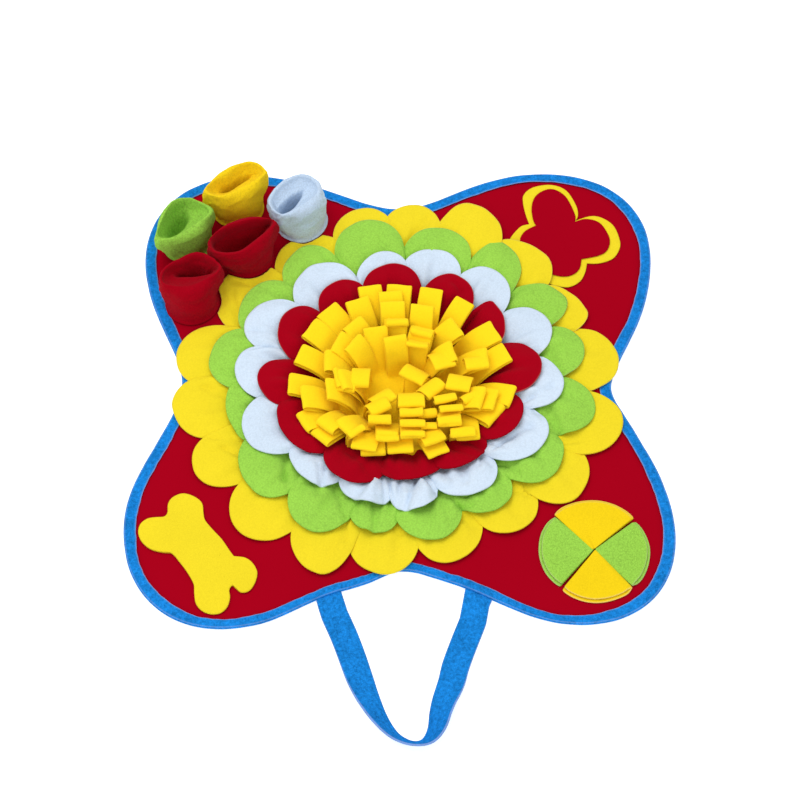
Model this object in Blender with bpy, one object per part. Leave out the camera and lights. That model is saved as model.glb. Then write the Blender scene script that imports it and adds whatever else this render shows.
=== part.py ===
"""A snuffle mat: a four-lobed felt mat with a bound edge and a carrying strap, a flower of four
scalloped petal rows round a bush of fleece loops, and a game on each of its four lobes.

Sizes below are millimetres and degrees. A bearing is measured clockwise from the far side of the
mat (+Y), as on a compass, and a reach is a distance from the flower's middle, the origin.
The underside of the mat is z = 0.
"""

from math import atan2, cos, hypot, pi, radians, sin, sqrt, tau

import bmesh
import bpy
from mathutils import Matrix, Vector

MM = 0.001
GAP = 0.3  # what two pieces that touch keep between them

# The mat's edge: its mean reach, and waves round it as (waves per turn, cosine part, sine part).
EDGE_MEAN = 258.6
EDGE_WAVES = ((1, 0.8, -0.3), (2, -1.6, 0.3), (3, 1.0, 0.0), (4, -56.0, 1.5), (5, 1.9, -0.7))
# Where the edge stands out, or in, a little further: bearing, how far, and degrees to either side.
EDGE_BULGES = (
    (22, 3, 16),
    (76, 5, 17),
    (93, -2.5, 8),
    (140, 3, 24),
    (161.5, -5.5, 12),
    (187, 4.5, 8),
    (199, -4, 8),
    (212, 3.5, 18),
    (243, 2.5, 10),
)
EDGE_STATIONS = 160

BASE_TOP = 3.0
RIM_TOP = 2.4  # the cloth is pressed thinner inside the binding
RIM_BOTTOM = 1.1
RIM_INSET = 1.6

TAPE_WIDTH = 11.0
TAPE_WAVE = 0.8
TAPE_WAVES = ((9, 0.6, 0.7), (23, 0.4, 0.0))  # waves per turn, share of the wave, phase
TAPE_THICK = 0.8
TAPE_TOP = 4.2
TAPE_ROUND_LOW = 0.7  # how far in the fold's lower and upper corners start
TAPE_ROUND_HIGH = 1.0

STRAP_WIDTH = 24.0
STRAP_THICK = 2.2
STRAP_CLEAR = 0.5  # between the binding and the strap's sewn ends
STRAP_LEFT_BEARINGS = (193.2, 197.8)  # where its inner and outer edge meet the binding
STRAP_RIGHT_BEARINGS = (164.6, 159.8)
# inner edge x, inner edge y, how far the outer edge is turned up
STRAP_STATIONS = (
    (-45, -236, 0),
    (-36, -257, 0),
    (-28.5, -278, 4),
    (-22, -299, 15),
    (-16, -319, 33),
    (-9, -337, 48),
    (-1, -350, 58),
    (8, -356.5, 62),
    (16, -358, 63),
    (21.5, -355, 56),
    (25.5, -346, 48),
    (27, -333, 38),
    (29.5, -319, 27),
    (34.5, -302, 13),
    (38.5, -285, 4),
    (45.5, -265, 0),
    (54, -243, 0),
)

# Each petal: bearing and reach of its tip, then bearing and reach of the notch after it.
PETALS_YELLOW = (
    (4.6, 207, 12.6, 189),
    (19.2, 220, 32.2, 192),
    (44.3, 204, 53, 183),
    (66, 199, 71, 184),
    (82.7, 211, 93.6, 176),
    (103, 215, 115, 190),
    (126.4, 206, 134.8, 179),
    (144.6, 193, 153.6, 166),
    (166.4, 196, 174.3, 177),
    (183.4, 203, 193.5, 185),
    (199.6, 214, 211.3, 186),
    (221.6, 215, 232.9, 182),
    (241.7, 212, 251, 191),
    (262, 214, 270, 198),
    (278.7, 214, 290.3, 172),
    (305.3, 207, 316.3, 174),
    (326.6, 193, 338.7, 179),
    (349.2, 206, 356.6, 193),
)
PETALS_GREEN = (
    (14.8, 180, 28, 145),
    (33, 188, 47.8, 146),
    (60.1, 186, 68, 157),
    (78.7, 180, 89.2, 155),
    (101.3, 188, 112.4, 160),
    (125, 179, 136.6, 152),
    (146, 169, 157.4, 152),
    (167.9, 177, 180.5, 155),
    (187.3, 168, 196.5, 157),
    (207.3, 183, 219, 161),
    (228, 182, 244.5, 159),
    (256, 166, 266.1, 159),
    (277.3, 181, 290.2, 160),
    (303.4, 175, 314.3, 156),
    (328.1, 178, 335.9, 145),
    (350, 188, 1.8, 142),
)
PETALS_PALE_BLUE = (
    (15.8, 149, 27.5, 131),
    (39, 152, 54.2, 125),
    (67.6, 156, 80.4, 132),
    (95, 156, 105.9, 133),
    (117.8, 156, 135.5, 128),
    (147, 149, 163.4, 129),
    (175, 149, 183.2, 135),
    (192.2, 143, 206.1, 127),
    (215, 143, 230.5, 133),
    (244, 159, 259.4, 133),
    (273.1, 155, 283.2, 139),
    (294.1, 159, 309.6, 129),
    (325.1, 150, 340, 118),
    (354, 142, 2.7, 132),
)
PETALS_RED = (
    (27.7, 124, 43, 104),
    (52, 122, 70, 102),
    (86.7, 135, 101.2, 112),
    (115, 127, 131, 111),
    (143, 120, 159.7, 111),
    (175, 117, 187.6, 112),
    (203.2, 129, 219.1, 112),
    (235.3, 128, 253, 118),
    (266.8, 133, 279.3, 99),
    (300.3, 127, 313.2, 104),
    (327, 120, 340.9, 107),
    (357, 124, 13.3, 99),
)
# name, colour, petals, reach of the sewn root, usual reach of the tips, height of the underside
# there, how far the row humps up between the two, whether it meets the cups and the clover
PETAL_ROWS = (
    ("petals_yellow", "yellow", PETALS_YELLOW, 150, 207, 6.2, 1.4, True),
    ("petals_green", "green", PETALS_GREEN, 125, 179, 12.8, 5.2, False),
    ("petals_pale_blue", "pale_blue", PETALS_PALE_BLUE, 101, 151, 19.4, 5.4, False),
    ("petals_red", "red", PETALS_RED, 78, 126, 25.6, 4.6, False),
)
PETAL_THICK = 2.1
PETAL_CROWN = 1.8  # from a petal's middle down to the notches beside it
PETAL_STEPS = (90, 60, 30)  # where its outline is cut, in degrees round half of its arc
PETAL_LENGTHWISE = (0.0, 0.5, 1.0)  # and between root and edge
CLOVER_LIFT = 3.2  # the yellow row lies over one lobe of the clover
CLOVER_LIFT_BEARINGS = (14, 58)
CLOVER_LIFT_FULL_AT = 0.6  # of the way from root to tip

# name, loops, bearing of the first root, reach of the root, reach and height of the tip, and
# how much shorter its loops reach on the near side, where the bush is pressed together
LOOP_RINGS = (
    ("loops_ring_1", 19, 5, 60, 98, 30, 0),
    ("loops_ring_2", 18, 0, 51, 85, 37, 8),
    ("loops_ring_3", 16, 8, 42, 73, 42, 4),
    ("loops_ring_4", 14, 0, 33, 61, 46, 1),
    ("loops_ring_5", 11, 10, 24, 48, 48, -1),
    ("loops_ring_6", 7, 20, 14, 31, 47, 0),
)
# How far each loop of the outer ring leans round from its root, and how far past its ring it is.
OUTER_LOOPS = (
    (-4, -2),
    (-5, -1),
    (-4, 2),
    (2, 4),
    (-2, 7),
    (6, 10),
    (2, 5),
    (1, -5),
    (1, -1),
    (3, -8),
    (0, -5),
    (9, 7),
    (5, 8),
    (10, 5),
    (9, -2),
    (10, -1),
    (7, -1),
    (2, -7),
    (-3, 1),
)
LOOP_WIDTH = 21.0
LOOP_THICK = 1.8
LOOP_ROOT_SPREAD = 1.3  # half the way between a loop's two legs, at its root and at its end
LOOP_END_SPREAD = 3.0
LOOP_ROOT_HEIGHT = 5.6
LOOP_SLIT = 1.3  # between two loops at the root
LOOP_BEND_OUT = 0.3  # where a loop bends outwards, as parts of its way out and of its way up
LOOP_BEND_UP = 0.75
LOOP_SHOULDER = 0.5  # where its legs and its end are cut, from root to tip
LOOP_END = 0.96
LOOP_OPEN_AT = 0.63  # where its legs are fully apart
LOOP_LEAN = 4.0  # inner rings: the most that a loop leans round, and is longer or shorter
LOOP_UNEVEN = 1.1
LOOP_SWING = 2.4  # steps of the wave that spreads both of these over the loops and rings
LOOP_RING_SWING = 1.3
LOOP_LENGTH_SWING = 1.7
BACKING_HALF = 3.0
# which leg, -1 under or 1 over, and where along it, out and back
LOOP_CUTS = ((-1, LOOP_SHOULDER), (-1, LOOP_END), (1, LOOP_END), (1, LOOP_SHOULDER))

# name, colour, foot x and y, foot reach, belly half length and half width, rim half length and
# half width, mouth half length and half width, turn, height, rim shift x and y, rim's rise
# towards its far side
CUPS = (
    ("cup_green", "green", -209, 162, 23, 28, 27, 29, 26, 20, 13, 22, 44, 0, 0, -2),
    ("cup_yellow", "yellow", -161, 205, 24, 29, 26, 33, 24, 26, 14, 20, 49, 0, 1, 3),
    ("cup_pale_blue", "pale_blue", -97, 188, 23.5, 28, 27, 29, 26, 14, 7, 26, 47, -4, -3, 2),
    ("cup_red_rear", "red", -149, 145, 24, 31, 25, 36, 23, 29, 12, 17, 44, -4, -3, 2),
    ("cup_red_front", "red", -200, 90, 24, 34.5, 24, 30, 19, 23, 11, 2, 44, 3, 15, -1),
)
CUP_STATIONS = 20
CUP_WALL = 3.0
CUP_BELLY_WALL = 4.0
CUP_BELLY_AT = 0.45  # of the height
CUFF_FROM = 0.8
CUFF_DROP = 1.5
CUP_CLEAR_STEP = 0.5
CUP_CLEAR = 28.0  # petals stop this far from the middle of a cup's foot

APPLIQUE_THICK = 1.5
APPLIQUE_EDGE = 0.4  # how much of its upper edge is rounded off
# heading of each lobe, anticlockwise from +X, and reach of its middle
CLOVER_OUTER_LOBES = ((-2, 36), (95, 36), (203, 27), (279, 35))
CLOVER_INNER_LOBES = ((-2, 31), (95, 31), (203, 17), (280, 31))
# name, colour, middle x and y, underside, lobes, lobe radius
CLOVERS = (
    ("clover_outer", "yellow", 156, 168, BASE_TOP + GAP, CLOVER_OUTER_LOBES, 27),
    ("clover_inner", "burgundy", 155, 172, BASE_TOP + APPLIQUE_THICK + 2 * GAP, CLOVER_INNER_LOBES, 23),
)
CLOVER_ARC_STEPS = 9
CLOVER_NECK = 3.0  # the least that two lobes overlap by at the notch between them

BONE_MIDDLE = (-177.5, -179.5)
BONE_TURN = -49.6  # its long axis, anticlockwise from +X
BONE_HALF_LENGTH = 41.0  # to the middles of the knobs
BONE_HALF_SPREAD = 17.2
BONE_KNOB = 16.5
BONE_HALF_SHAFT = 20.2
BONE_NOTCH = 46.5
BONE_KNOB_ARC = (-50, 160)
BONE_ARC_STEPS = 8
BONE_THICK = 3.0
BONE_EDGE = 0.9

BALL_MIDDLE = (176, -178)
# name, colour, bearings of the folded and of the open straight edge, reach of the round edge
BALL_FLAPS = (
    ("ball_flap_far", "yellow", 317, 50, 51.5),
    ("ball_flap_right", "green", 138, 52, 50),
    ("ball_flap_near", "yellow", 140, 219, 51.5),
    ("ball_flap_left", "green", 314, 221, 50),
)
FLAP_THICK = 1.7
FLAP_SLIT = 0.7  # between its two layers
FLAP_INNER = 2.5
FLAP_FOLD_INSET = 0.9  # from the ball's middle to the folded edge, less the bulge of the fold
FLAP_OPEN_INSET = 0.3
FLAP_BULGE = 0.6
FLAP_SLIT_START = 0.3  # how far from the fold the slit ends, at the ball's middle
FLAP_REACHES = (0.0, 0.5, 1.0)
FLAP_ARC_STEPS = 8
FLAP_STEP_IN = 2.6  # the upper layer is cut shorter, so the lower one shows past it

COLOURS = {
    "burgundy": (0.30, 0.003, 0.012),
    "red": (0.36, 0.003, 0.014),
    "yellow": (0.95, 0.66, 0.02),
    "green": (0.33, 0.66, 0.09),
    "pale_blue": (0.55, 0.67, 0.84),
    "blue": (0.013, 0.19, 0.62),
}


def at_bearing(bearing, reach, height=0.0):
    """The point at a compass bearing and a reach from the flower's middle."""
    turn = radians(bearing)
    return Vector((reach * sin(turn), reach * cos(turn), height))


def edge_reach(bearing):
    turn = radians(bearing)
    reach = EDGE_MEAN + sum(a * cos(n * turn) + b * sin(n * turn) for n, a, b in EDGE_WAVES)
    for middle, height, half in EDGE_BULGES:
        off = abs((bearing - middle + 180) % 360 - 180) / half
        if off < 1:
            reach += height * (1 + cos(pi * off)) / 2
    return reach


def edge_point(bearing, inset, height=0.0):
    """A point this far inside the mat's edge, measured square to the edge."""
    here = at_bearing(bearing, edge_reach(bearing))
    along = at_bearing(bearing + 0.5, edge_reach(bearing + 0.5)) - here
    inward = Vector((along.y, -along.x, 0)).normalized()
    return here + inward * inset + Vector((0, 0, height))


def material(colour):
    name = colour + "_cloth"
    made = bpy.data.materials.get(name)
    if made:
        return made
    made = bpy.data.materials.new(name)
    made.use_nodes = True
    shader = made.node_tree.nodes["Principled BSDF"]
    shader.inputs["Base Color"].default_value = (*COLOURS[colour], 1)
    shader.inputs["Roughness"].default_value = 0.9
    shader.inputs["Metallic"].default_value = 0
    return made


def add_piece(name, bm, colour, middle=(0, 0), turn=0.0):
    """Makes the object from a mesh in millimetres, set at its place under the mat's empty."""
    bmesh.ops.recalc_face_normals(bm, faces=bm.faces)
    bmesh.ops.triangulate(bm, faces=bm.faces)
    if bm.calc_volume(signed=True) < 0:
        bmesh.ops.reverse_faces(bm, faces=bm.faces)
    bm.transform(Matrix.Scale(MM, 4))
    mesh = bpy.data.meshes.new(name)
    bm.to_mesh(mesh)
    bm.free()
    mesh.materials.append(material(colour))
    mesh.shade_smooth()
    mesh.set_sharp_from_angle(angle=radians(40))
    piece = bpy.data.objects.new(name, mesh)
    piece.location = (middle[0] * MM, middle[1] * MM, 0)
    piece.rotation_euler.z = radians(turn)
    piece.parent = bpy.data.objects["snuffle_mat"]
    bpy.context.scene.collection.objects.link(piece)
    return piece


def add_ring(bm, points):
    return [bm.verts.new(point) for point in points]


def join_rings(bm, first, second):
    """Faces between two closed rows of vertices."""
    count = len(first)
    for i in range(count):
        j = (i + 1) % count
        bm.faces.new((first[i], first[j], second[j], second[i]))


def loft(sections, round_trip):
    """A solid through closed sections: a ring back to its start, or a bar with two end faces."""
    bm = bmesh.new()
    rings = [add_ring(bm, section) for section in sections]
    for first, second in zip(rings, rings[1:]):
        join_rings(bm, first, second)
    if round_trip:
        join_rings(bm, rings[-1], rings[0])
    else:
        bm.faces.new(rings[0])
        bm.faces.new(list(reversed(rings[-1])))
    return bm


def add_base():
    """The felt: full thickness up to the binding, and a thinner rim inside it."""
    shoulder = TAPE_WIDTH + TAPE_WAVE + GAP
    levels = (
        (shoulder, 0),
        (shoulder, RIM_BOTTOM),
        (RIM_INSET, RIM_BOTTOM),
        (RIM_INSET, RIM_TOP),
        (shoulder, BASE_TOP),
    )
    bearings = [360 * i / EDGE_STATIONS for i in range(EDGE_STATIONS)]
    outline = [[edge_point(b, inset, height) for b in bearings] for inset, height in levels]
    add_piece("base_cloth", loft(outline, False), "burgundy")


def add_binding():
    """A tape folded over the felt's rim, its inner edges a little wavy."""
    sections = []
    for i in range(EDGE_STATIONS):
        bearing = 360 * i / EDGE_STATIONS
        turn = radians(bearing)
        wave = TAPE_WAVE * sum(share * sin(n * turn + phase) for n, share, phase in TAPE_WAVES)
        width = TAPE_WIDTH + wave
        over = RIM_TOP + GAP
        under = RIM_BOTTOM - GAP
        top_edge = BASE_TOP + GAP
        profile = (
            (width, 0),
            (TAPE_ROUND_LOW, 0),
            (0, RIM_BOTTOM),
            (0, RIM_TOP),
            (TAPE_ROUND_HIGH, over + TAPE_THICK),
            (width, TAPE_TOP),
            (width, top_edge),
            (RIM_INSET - GAP, over),
            (RIM_INSET - GAP, under),
            (width, under),
        )
        sections.append([edge_point(bearing, inset, height) for inset, height in profile])
    add_piece("edge_binding", loft(sections, True), "blue")


def strap_edges():
    """Inner and outer edge of the strap's middle surface, from its left end to its right end."""
    half = STRAP_THICK / 2
    inner = [Vector((x, y, half)) for x, y, _ in STRAP_STATIONS]
    inner.insert(0, edge_point(STRAP_LEFT_BEARINGS[0], -STRAP_CLEAR, half))
    inner.append(edge_point(STRAP_RIGHT_BEARINGS[0], -STRAP_CLEAR, half))
    outer = []
    for i, (_, _, lean) in enumerate(STRAP_STATIONS, 1):
        along = inner[i + 1] - inner[i - 1]
        outward = Vector((along.y, -along.x, 0)).normalized()
        rise = radians(lean)
        across = outward * cos(rise) + Vector((0, 0, sin(rise)))
        outer.append(inner[i] + across * STRAP_WIDTH)
    outer.insert(0, edge_point(STRAP_LEFT_BEARINGS[1], -STRAP_CLEAR, half))
    outer.append(edge_point(STRAP_RIGHT_BEARINGS[1], -STRAP_CLEAR, half))
    return inner, outer


def add_strap():
    """The strap lies flat at its ends, and its outer edge turns up round the bend."""
    inner, outer = strap_edges()
    last = len(inner) - 1
    sections = []
    for i, (near, far) in enumerate(zip(inner, outer)):
        along = inner[min(i + 1, last)] - inner[max(i - 1, 0)]
        face = (far - near).cross(along).normalized() * (STRAP_THICK / 2)
        sections.append((near + face, far + face, far - face, near - face))
    add_piece("handle_strap", loft(sections, False), "blue")


def cup_limit(bearing, reach):
    """The reach at which a petal stops short of the cups' feet."""
    for cup in CUPS:
        foot = Vector((cup[2], cup[3], 0))
        while (at_bearing(bearing, reach) - foot).length < CUP_CLEAR:
            reach -= CUP_CLEAR_STEP
    return reach


def petal_outline(petals):
    """Bearing, reach and crest (1 on a petal's middle, 0 at a notch) round a scalloped row."""
    stations = []
    for i, (tip, tip_reach, notch, notch_reach) in enumerate(petals):
        before, before_reach = petals[i - 1][2], petals[i - 1][3]
        before = tip - (tip - before) % 360
        notch = tip + (notch - tip) % 360
        stations.append((before, before_reach, 0.0))
        sides = [(before, before_reach, step) for step in reversed(PETAL_STEPS[1:])]
        sides.append((notch, notch_reach, PETAL_STEPS[0]))
        sides += [(notch, notch_reach, step) for step in PETAL_STEPS[1:]]
        for side, side_reach, step in sides:
            crest = sin(radians(step))
            bearing = tip + (side - tip) * cos(radians(step))
            stations.append((bearing, side_reach + (tip_reach - side_reach) * crest, crest))
    return stations


def over_clover(bearing):
    """1 over the clover's near lobe, 0 away from it."""
    start, end = CLOVER_LIFT_BEARINGS
    part = ((bearing - start + 180) % 360 - 180) / (end - start)
    return sin(pi * part) if 0 < part < 1 else 0.0


def add_petal_row(name, colour, petals, root, usual_tip, tip_height, hump, by_games):
    """One gathered strip: sewn down at its root, crowned along each petal, free at its edge."""
    sections = []
    for bearing, reach, crest in petal_outline(petals):
        if by_games:
            reach = cup_limit(bearing, reach)
        under, over = [], []
        for part in PETAL_LENGTHWISE:
            here = root + (reach - root) * part
            out = (here - root) / (usual_tip - root)
            start = BASE_TOP + GAP
            height = start + (tip_height - start) * out + hump * 4 * out * (1 - out)
            height += PETAL_CROWN * (crest - 0.5) * out * out
            if by_games:
                height += CLOVER_LIFT * over_clover(bearing) * min(1, out / CLOVER_LIFT_FULL_AT)
            under.append(at_bearing(bearing, here, height))
            over.append(at_bearing(bearing, here, height + PETAL_THICK))
        sections.append(under + over[::-1])
    add_piece(name, loft(sections, True), colour)


def loop_path(root, tip, tip_height, part):
    """Reach, height and direction along the middle of a loop, from its root to its end."""
    start = Vector((root, LOOP_ROOT_HEIGHT))
    end = Vector((tip, tip_height))
    bend = start + Vector((LOOP_BEND_OUT * (tip - root), LOOP_BEND_UP * (tip_height - start.y)))
    place = start * (1 - part) ** 2 + bend * 2 * part * (1 - part) + end * part**2
    along = (bend - start) * (1 - part) + (end - bend) * part
    return place, along.normalized()


def add_loop_ring(index, name, loops, first, root, tip, tip_height, near_press):
    """Loops of doubled strip that stand out of one round backing."""
    bm = bmesh.new()
    half_root = 180 / loops - degrees_of(LOOP_SLIT / 2, root)
    backing = backing_profile(root, tip, tip_height)
    sides = []
    for k in range(loops):
        middle = first + 360 * k / loops
        lean, further = loop_habit(index, k)
        further -= near_press * max(0, -cos(radians(middle))) ** 4
        left = add_ring(bm, [at_bearing(middle - half_root, r, z) for r, z in backing])
        right = add_ring(bm, [at_bearing(middle + half_root, r, z) for r, z in backing])
        for a, b in ((0, 1), (1, 2), (3, 4), (5, 0)):
            bm.faces.new((left[a], left[b], right[b], right[a]))
        bands = [(left[2], right[2], right[3], left[3])]
        for leg, part in LOOP_CUTS:
            place, along = loop_path(root, tip + further, tip_height, part)
            square = Vector((-along.y, along.x)) * leg
            opened = min(1, part / LOOP_OPEN_AT)
            spread = LOOP_ROOT_SPREAD + (LOOP_END_SPREAD - LOOP_ROOT_SPREAD) * opened
            thick = LOOP_THICK / 2
            end = along * thick if part == LOOP_END else Vector((0, 0))
            outer = place + square * (spread + thick) + end
            inner = place + square * (spread - thick) - end
            band = []
            half = (1 - part) * radians(half_root) * root + part * LOOP_WIDTH / 2
            for side, (reach, height) in ((-1, outer), (1, outer), (1, inner), (-1, inner)):
                bearing = middle + lean * part + side * degrees_of(half, reach)
                band.append(bm.verts.new(at_bearing(bearing, reach, height)))
            bands.append(band)
        bands.append((left[5], right[5], right[4], left[4]))
        for one, other in zip(bands, bands[1:]):
            join_rings(bm, one, other)
        sides.append((left, right))
    for k, (_, right) in enumerate(sides):
        join_rings(bm, right, sides[(k + 1) % loops][0])
    add_piece(name, bm, "yellow")


def degrees_of(length, reach):
    return 360 * length / (tau * reach)


def backing_profile(root, tip, tip_height):
    """Reach and height of the backing's six corners; a loop's legs leave at 2-3 and at 4-5."""
    place, along = loop_path(root, tip, tip_height, 0)
    square = Vector((-along.y, along.x))
    wide = LOOP_ROOT_SPREAD + LOOP_THICK / 2
    slim = LOOP_ROOT_SPREAD - LOOP_THICK / 2
    corners = [(root - BACKING_HALF, BASE_TOP + GAP), (root + BACKING_HALF, BASE_TOP + GAP)]
    corners += [tuple(place + square * offset) for offset in (-wide, -slim, slim, wide)]
    return corners


def loop_habit(index, k):
    """How far a loop leans round from its root, and how far its end is past its ring's reach."""
    if index == 0:
        return OUTER_LOOPS[k]
    swing = LOOP_SWING * k + LOOP_RING_SWING * index
    return LOOP_LEAN * sin(swing), LOOP_UNEVEN * sin(LOOP_LENGTH_SWING * swing + 1)


def oval_reach(half_length, half_width, turn):
    """The reach of an oval at an angle from its long axis."""
    return half_length * half_width / hypot(half_width * cos(turn), half_length * sin(turn))


def add_cup(cup):
    """An open tube of fleece: a foot sewn to the mat, a full belly and a thick rolled cuff."""
    name, colour, x, y, foot, belly_l, belly_w, *rest = cup
    rim_l, rim_w, mouth_l, mouth_w, turn, height, dx, dy, rise = rest
    low = BASE_TOP + GAP
    # part of the height, half length and half width of the wall there
    profile = (
        (0.0, foot, foot),
        (CUP_BELLY_AT, belly_l, belly_w),
        (CUFF_FROM, rim_l, rim_w),
        (1.0, rim_l - CUFF_DROP, rim_w - CUFF_DROP),
        (1.0, mouth_l + CUFF_DROP, mouth_w + CUFF_DROP),
        (CUFF_FROM, mouth_l, mouth_w),
        (CUP_BELLY_AT, belly_l - CUP_BELLY_WALL, belly_w - CUP_BELLY_WALL),
        (0.0, foot - CUP_WALL, foot - CUP_WALL),
    )
    sections = []
    for i in range(CUP_STATIONS):
        angle = tau * i / CUP_STATIONS
        section = []
        for up, half_length, half_width in profile:
            reach = oval_reach(half_length, half_width, angle - radians(turn))
            tilt = rise * up * sin(angle)
            place = Vector((cos(angle) * reach + dx * up, sin(angle) * reach + dy * up, 0))
            place.z = low + (height - low) * up + tilt
            section.append(place)
        sections.append(section)
    add_piece(name, loft(sections, True), colour, (x, y))


def prism(outline, low, thick, shoulder):
    """A flat cut piece with its upper edge rounded off."""
    middle = sum((Vector(point) for point in outline), Vector((0, 0))) / len(outline)
    rings = [[(*point, low) for point in outline]]
    rings.append([(*point, low + thick - shoulder) for point in outline])
    inner = [Vector(p) + (middle - Vector(p)).normalized() * shoulder for p in outline]
    rings.append([(*point, low + thick) for point in inner])
    return loft(rings, False)


def lobe_notch(one, following, lobe):
    """Where the rims of two neighbouring lobes cross, on their outer side."""
    across = following - one
    out = Vector((across.y, -across.x)).normalized()
    shared = max(CLOVER_NECK**2, lobe**2 - across.length_squared / 4)
    return (one + following) / 2 + out * sqrt(shared)


def add_clover(name, colour, x, y, low, lobes, lobe):
    """Four round lobes that meet at notches."""
    middles = [Vector((reach * cos(radians(h)), reach * sin(radians(h)))) for h, reach in lobes]
    notches = [
        lobe_notch(middle, middles[(k + 1) % len(middles)], lobe)
        for k, middle in enumerate(middles)
    ]
    outline = []
    for k, middle in enumerate(middles):
        first, last = notches[k - 1] - middle, notches[k] - middle
        start = atan2(first.y, first.x)
        arc = (atan2(last.y, last.x) - start) % tau
        for step in range(CLOVER_ARC_STEPS):
            angle = start + arc * (step + 0.5) / CLOVER_ARC_STEPS
            outline.append(middle + lobe * Vector((cos(angle), sin(angle))))
        outline.append(notches[k])
    add_piece(name, prism(outline, low, APPLIQUE_THICK, APPLIQUE_EDGE), colour, (x, y))


def add_bone():
    """A soft bone: two knobs at each end of a broad shaft."""
    start, end = BONE_KNOB_ARC
    quarter = []
    for step in range(BONE_ARC_STEPS + 1):
        angle = radians(start + (end - start) * step / BONE_ARC_STEPS)
        along = BONE_HALF_LENGTH + BONE_KNOB * cos(angle)
        quarter.append((along, BONE_HALF_SPREAD + BONE_KNOB * sin(angle)))
    upper = [(BONE_NOTCH, 0), *quarter, (0, BONE_HALF_SHAFT)]
    upper += [(-px, py) for px, py in reversed(quarter)]
    outline = upper + [(-px, -py) for px, py in upper]
    bm = prism(outline, BASE_TOP + GAP, BONE_THICK, BONE_EDGE)
    add_piece("bone", bm, "yellow", BONE_MIDDLE, BONE_TURN)


def add_flap(name, colour, fold, free, round_reach):
    """A quarter of the ball: a half circle of cloth folded once, its two layers a little apart."""
    sweep = (free - fold + 180) % 360 - 180
    inward = 1 if sweep > 0 else -1
    low = BASE_TOP + GAP
    upper = low + FLAP_THICK + FLAP_SLIT
    from_fold = at_bearing(fold + 90 * inward, 1)
    from_free = at_bearing(free - 90 * inward, 1)
    # The whole flap stands off its two straight neighbours by the two insets.
    facing = from_fold.dot(from_free)
    spare = 1 - facing**2
    corner = from_fold * ((FLAP_FOLD_INSET - facing * FLAP_OPEN_INSET) / spare)
    corner += from_free * ((FLAP_OPEN_INSET - facing * FLAP_FOLD_INSET) / spare)

    def spot(part, turn_part, height, short):
        reach = FLAP_INNER + (round_reach - short - FLAP_INNER) * part
        return corner + at_bearing(fold + sweep * turn_part, reach, height)

    outward = [step / FLAP_ARC_STEPS for step in range(FLAP_ARC_STEPS + 1)]
    inwards = outward[::-1]
    sections = []
    for part in FLAP_REACHES:
        short = FLAP_STEP_IN * part
        under = [spot(part, t, low, 0) for t in inwards]
        over = [spot(part, t, upper + FLAP_THICK, short) for t in outward]
        slit_top = [spot(part, t, upper, short) for t in inwards]
        slit_low = [spot(part, t, low + FLAP_THICK, 0) for t in outward]
        bulge = -from_fold * FLAP_BULGE
        rounding = Vector((0, 0, FLAP_BULGE))
        nose = [under[-1] + bulge + rounding, over[0] + bulge - rounding]
        closed_in = from_fold * min(FLAP_THICK, FLAP_SLIT_START + 2 * FLAP_THICK * part)
        slit_top[-1] = slit_top[-1] + closed_in
        slit_low[0] = slit_low[0] + closed_in
        sections.append(under + nose + over + slit_top + slit_low)
    add_piece(name, loft(sections, False), colour, BALL_MIDDLE)


def clear_scene():
    for thing in list(bpy.data.objects):
        bpy.data.objects.remove(thing, do_unlink=True)


def build():
    clear_scene()
    mat = bpy.data.objects.new("snuffle_mat", None)
    bpy.context.scene.collection.objects.link(mat)
    add_base()
    add_binding()
    add_strap()
    for row in PETAL_ROWS:
        add_petal_row(*row)
    for index, ring in enumerate(LOOP_RINGS):
        add_loop_ring(index, *ring)
    for cup in CUPS:
        add_cup(cup)
    for clover in CLOVERS:
        add_clover(*clover)
    add_bone()
    for flap in BALL_FLAPS:
        add_flap(*flap)


build()
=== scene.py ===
"""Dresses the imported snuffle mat: felt, tape, petals, loops, cups and the three flat games.

Laid out as an add-on, and run as a script. Sizes in the tables are millimetres and degrees, in
the mat's own frame: the origin is the flower's middle on the mat's underside, +Y is the far
side, and a bearing is measured clockwise from +Y as on a compass.
"""

from math import cos, exp, pi, radians, sin, sqrt, tau

import bmesh
import bpy
from mathutils import Matrix, Vector, noise


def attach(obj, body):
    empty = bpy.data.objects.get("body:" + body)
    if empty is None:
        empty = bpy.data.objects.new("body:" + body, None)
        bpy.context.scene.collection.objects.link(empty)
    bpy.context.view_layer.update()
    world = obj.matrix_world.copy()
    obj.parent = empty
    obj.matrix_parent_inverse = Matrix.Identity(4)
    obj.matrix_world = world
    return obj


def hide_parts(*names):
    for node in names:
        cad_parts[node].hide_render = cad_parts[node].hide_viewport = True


bl_info = {
    "name": "Snuffle mat",
    "version": (1, 0, 0),
    "blender": (4, 5, 0),
    "location": "3D View > Sidebar > Snuffle mat",
    "description": "Models a felt snuffle mat with a petal flower, a bush of loops and games",
    "category": "Object",
}

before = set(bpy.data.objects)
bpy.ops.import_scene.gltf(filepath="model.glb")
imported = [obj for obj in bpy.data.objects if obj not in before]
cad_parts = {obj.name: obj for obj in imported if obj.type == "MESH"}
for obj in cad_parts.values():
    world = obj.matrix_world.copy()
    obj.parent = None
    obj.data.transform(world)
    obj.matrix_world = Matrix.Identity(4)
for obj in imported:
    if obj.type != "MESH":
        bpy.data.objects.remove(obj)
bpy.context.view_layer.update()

MM = 0.001
GAP = 0.3  # what two pieces that touch keep between them
WELD = 1e-4  # points closer than this become one
CLOTH_MAP = "cloth"
# The attribute named below holds a painted highlight: how far an edge is drawn paler, as if it caught the
# light.
EDGE_HIGHLIGHT = "cut_edge"

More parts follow.
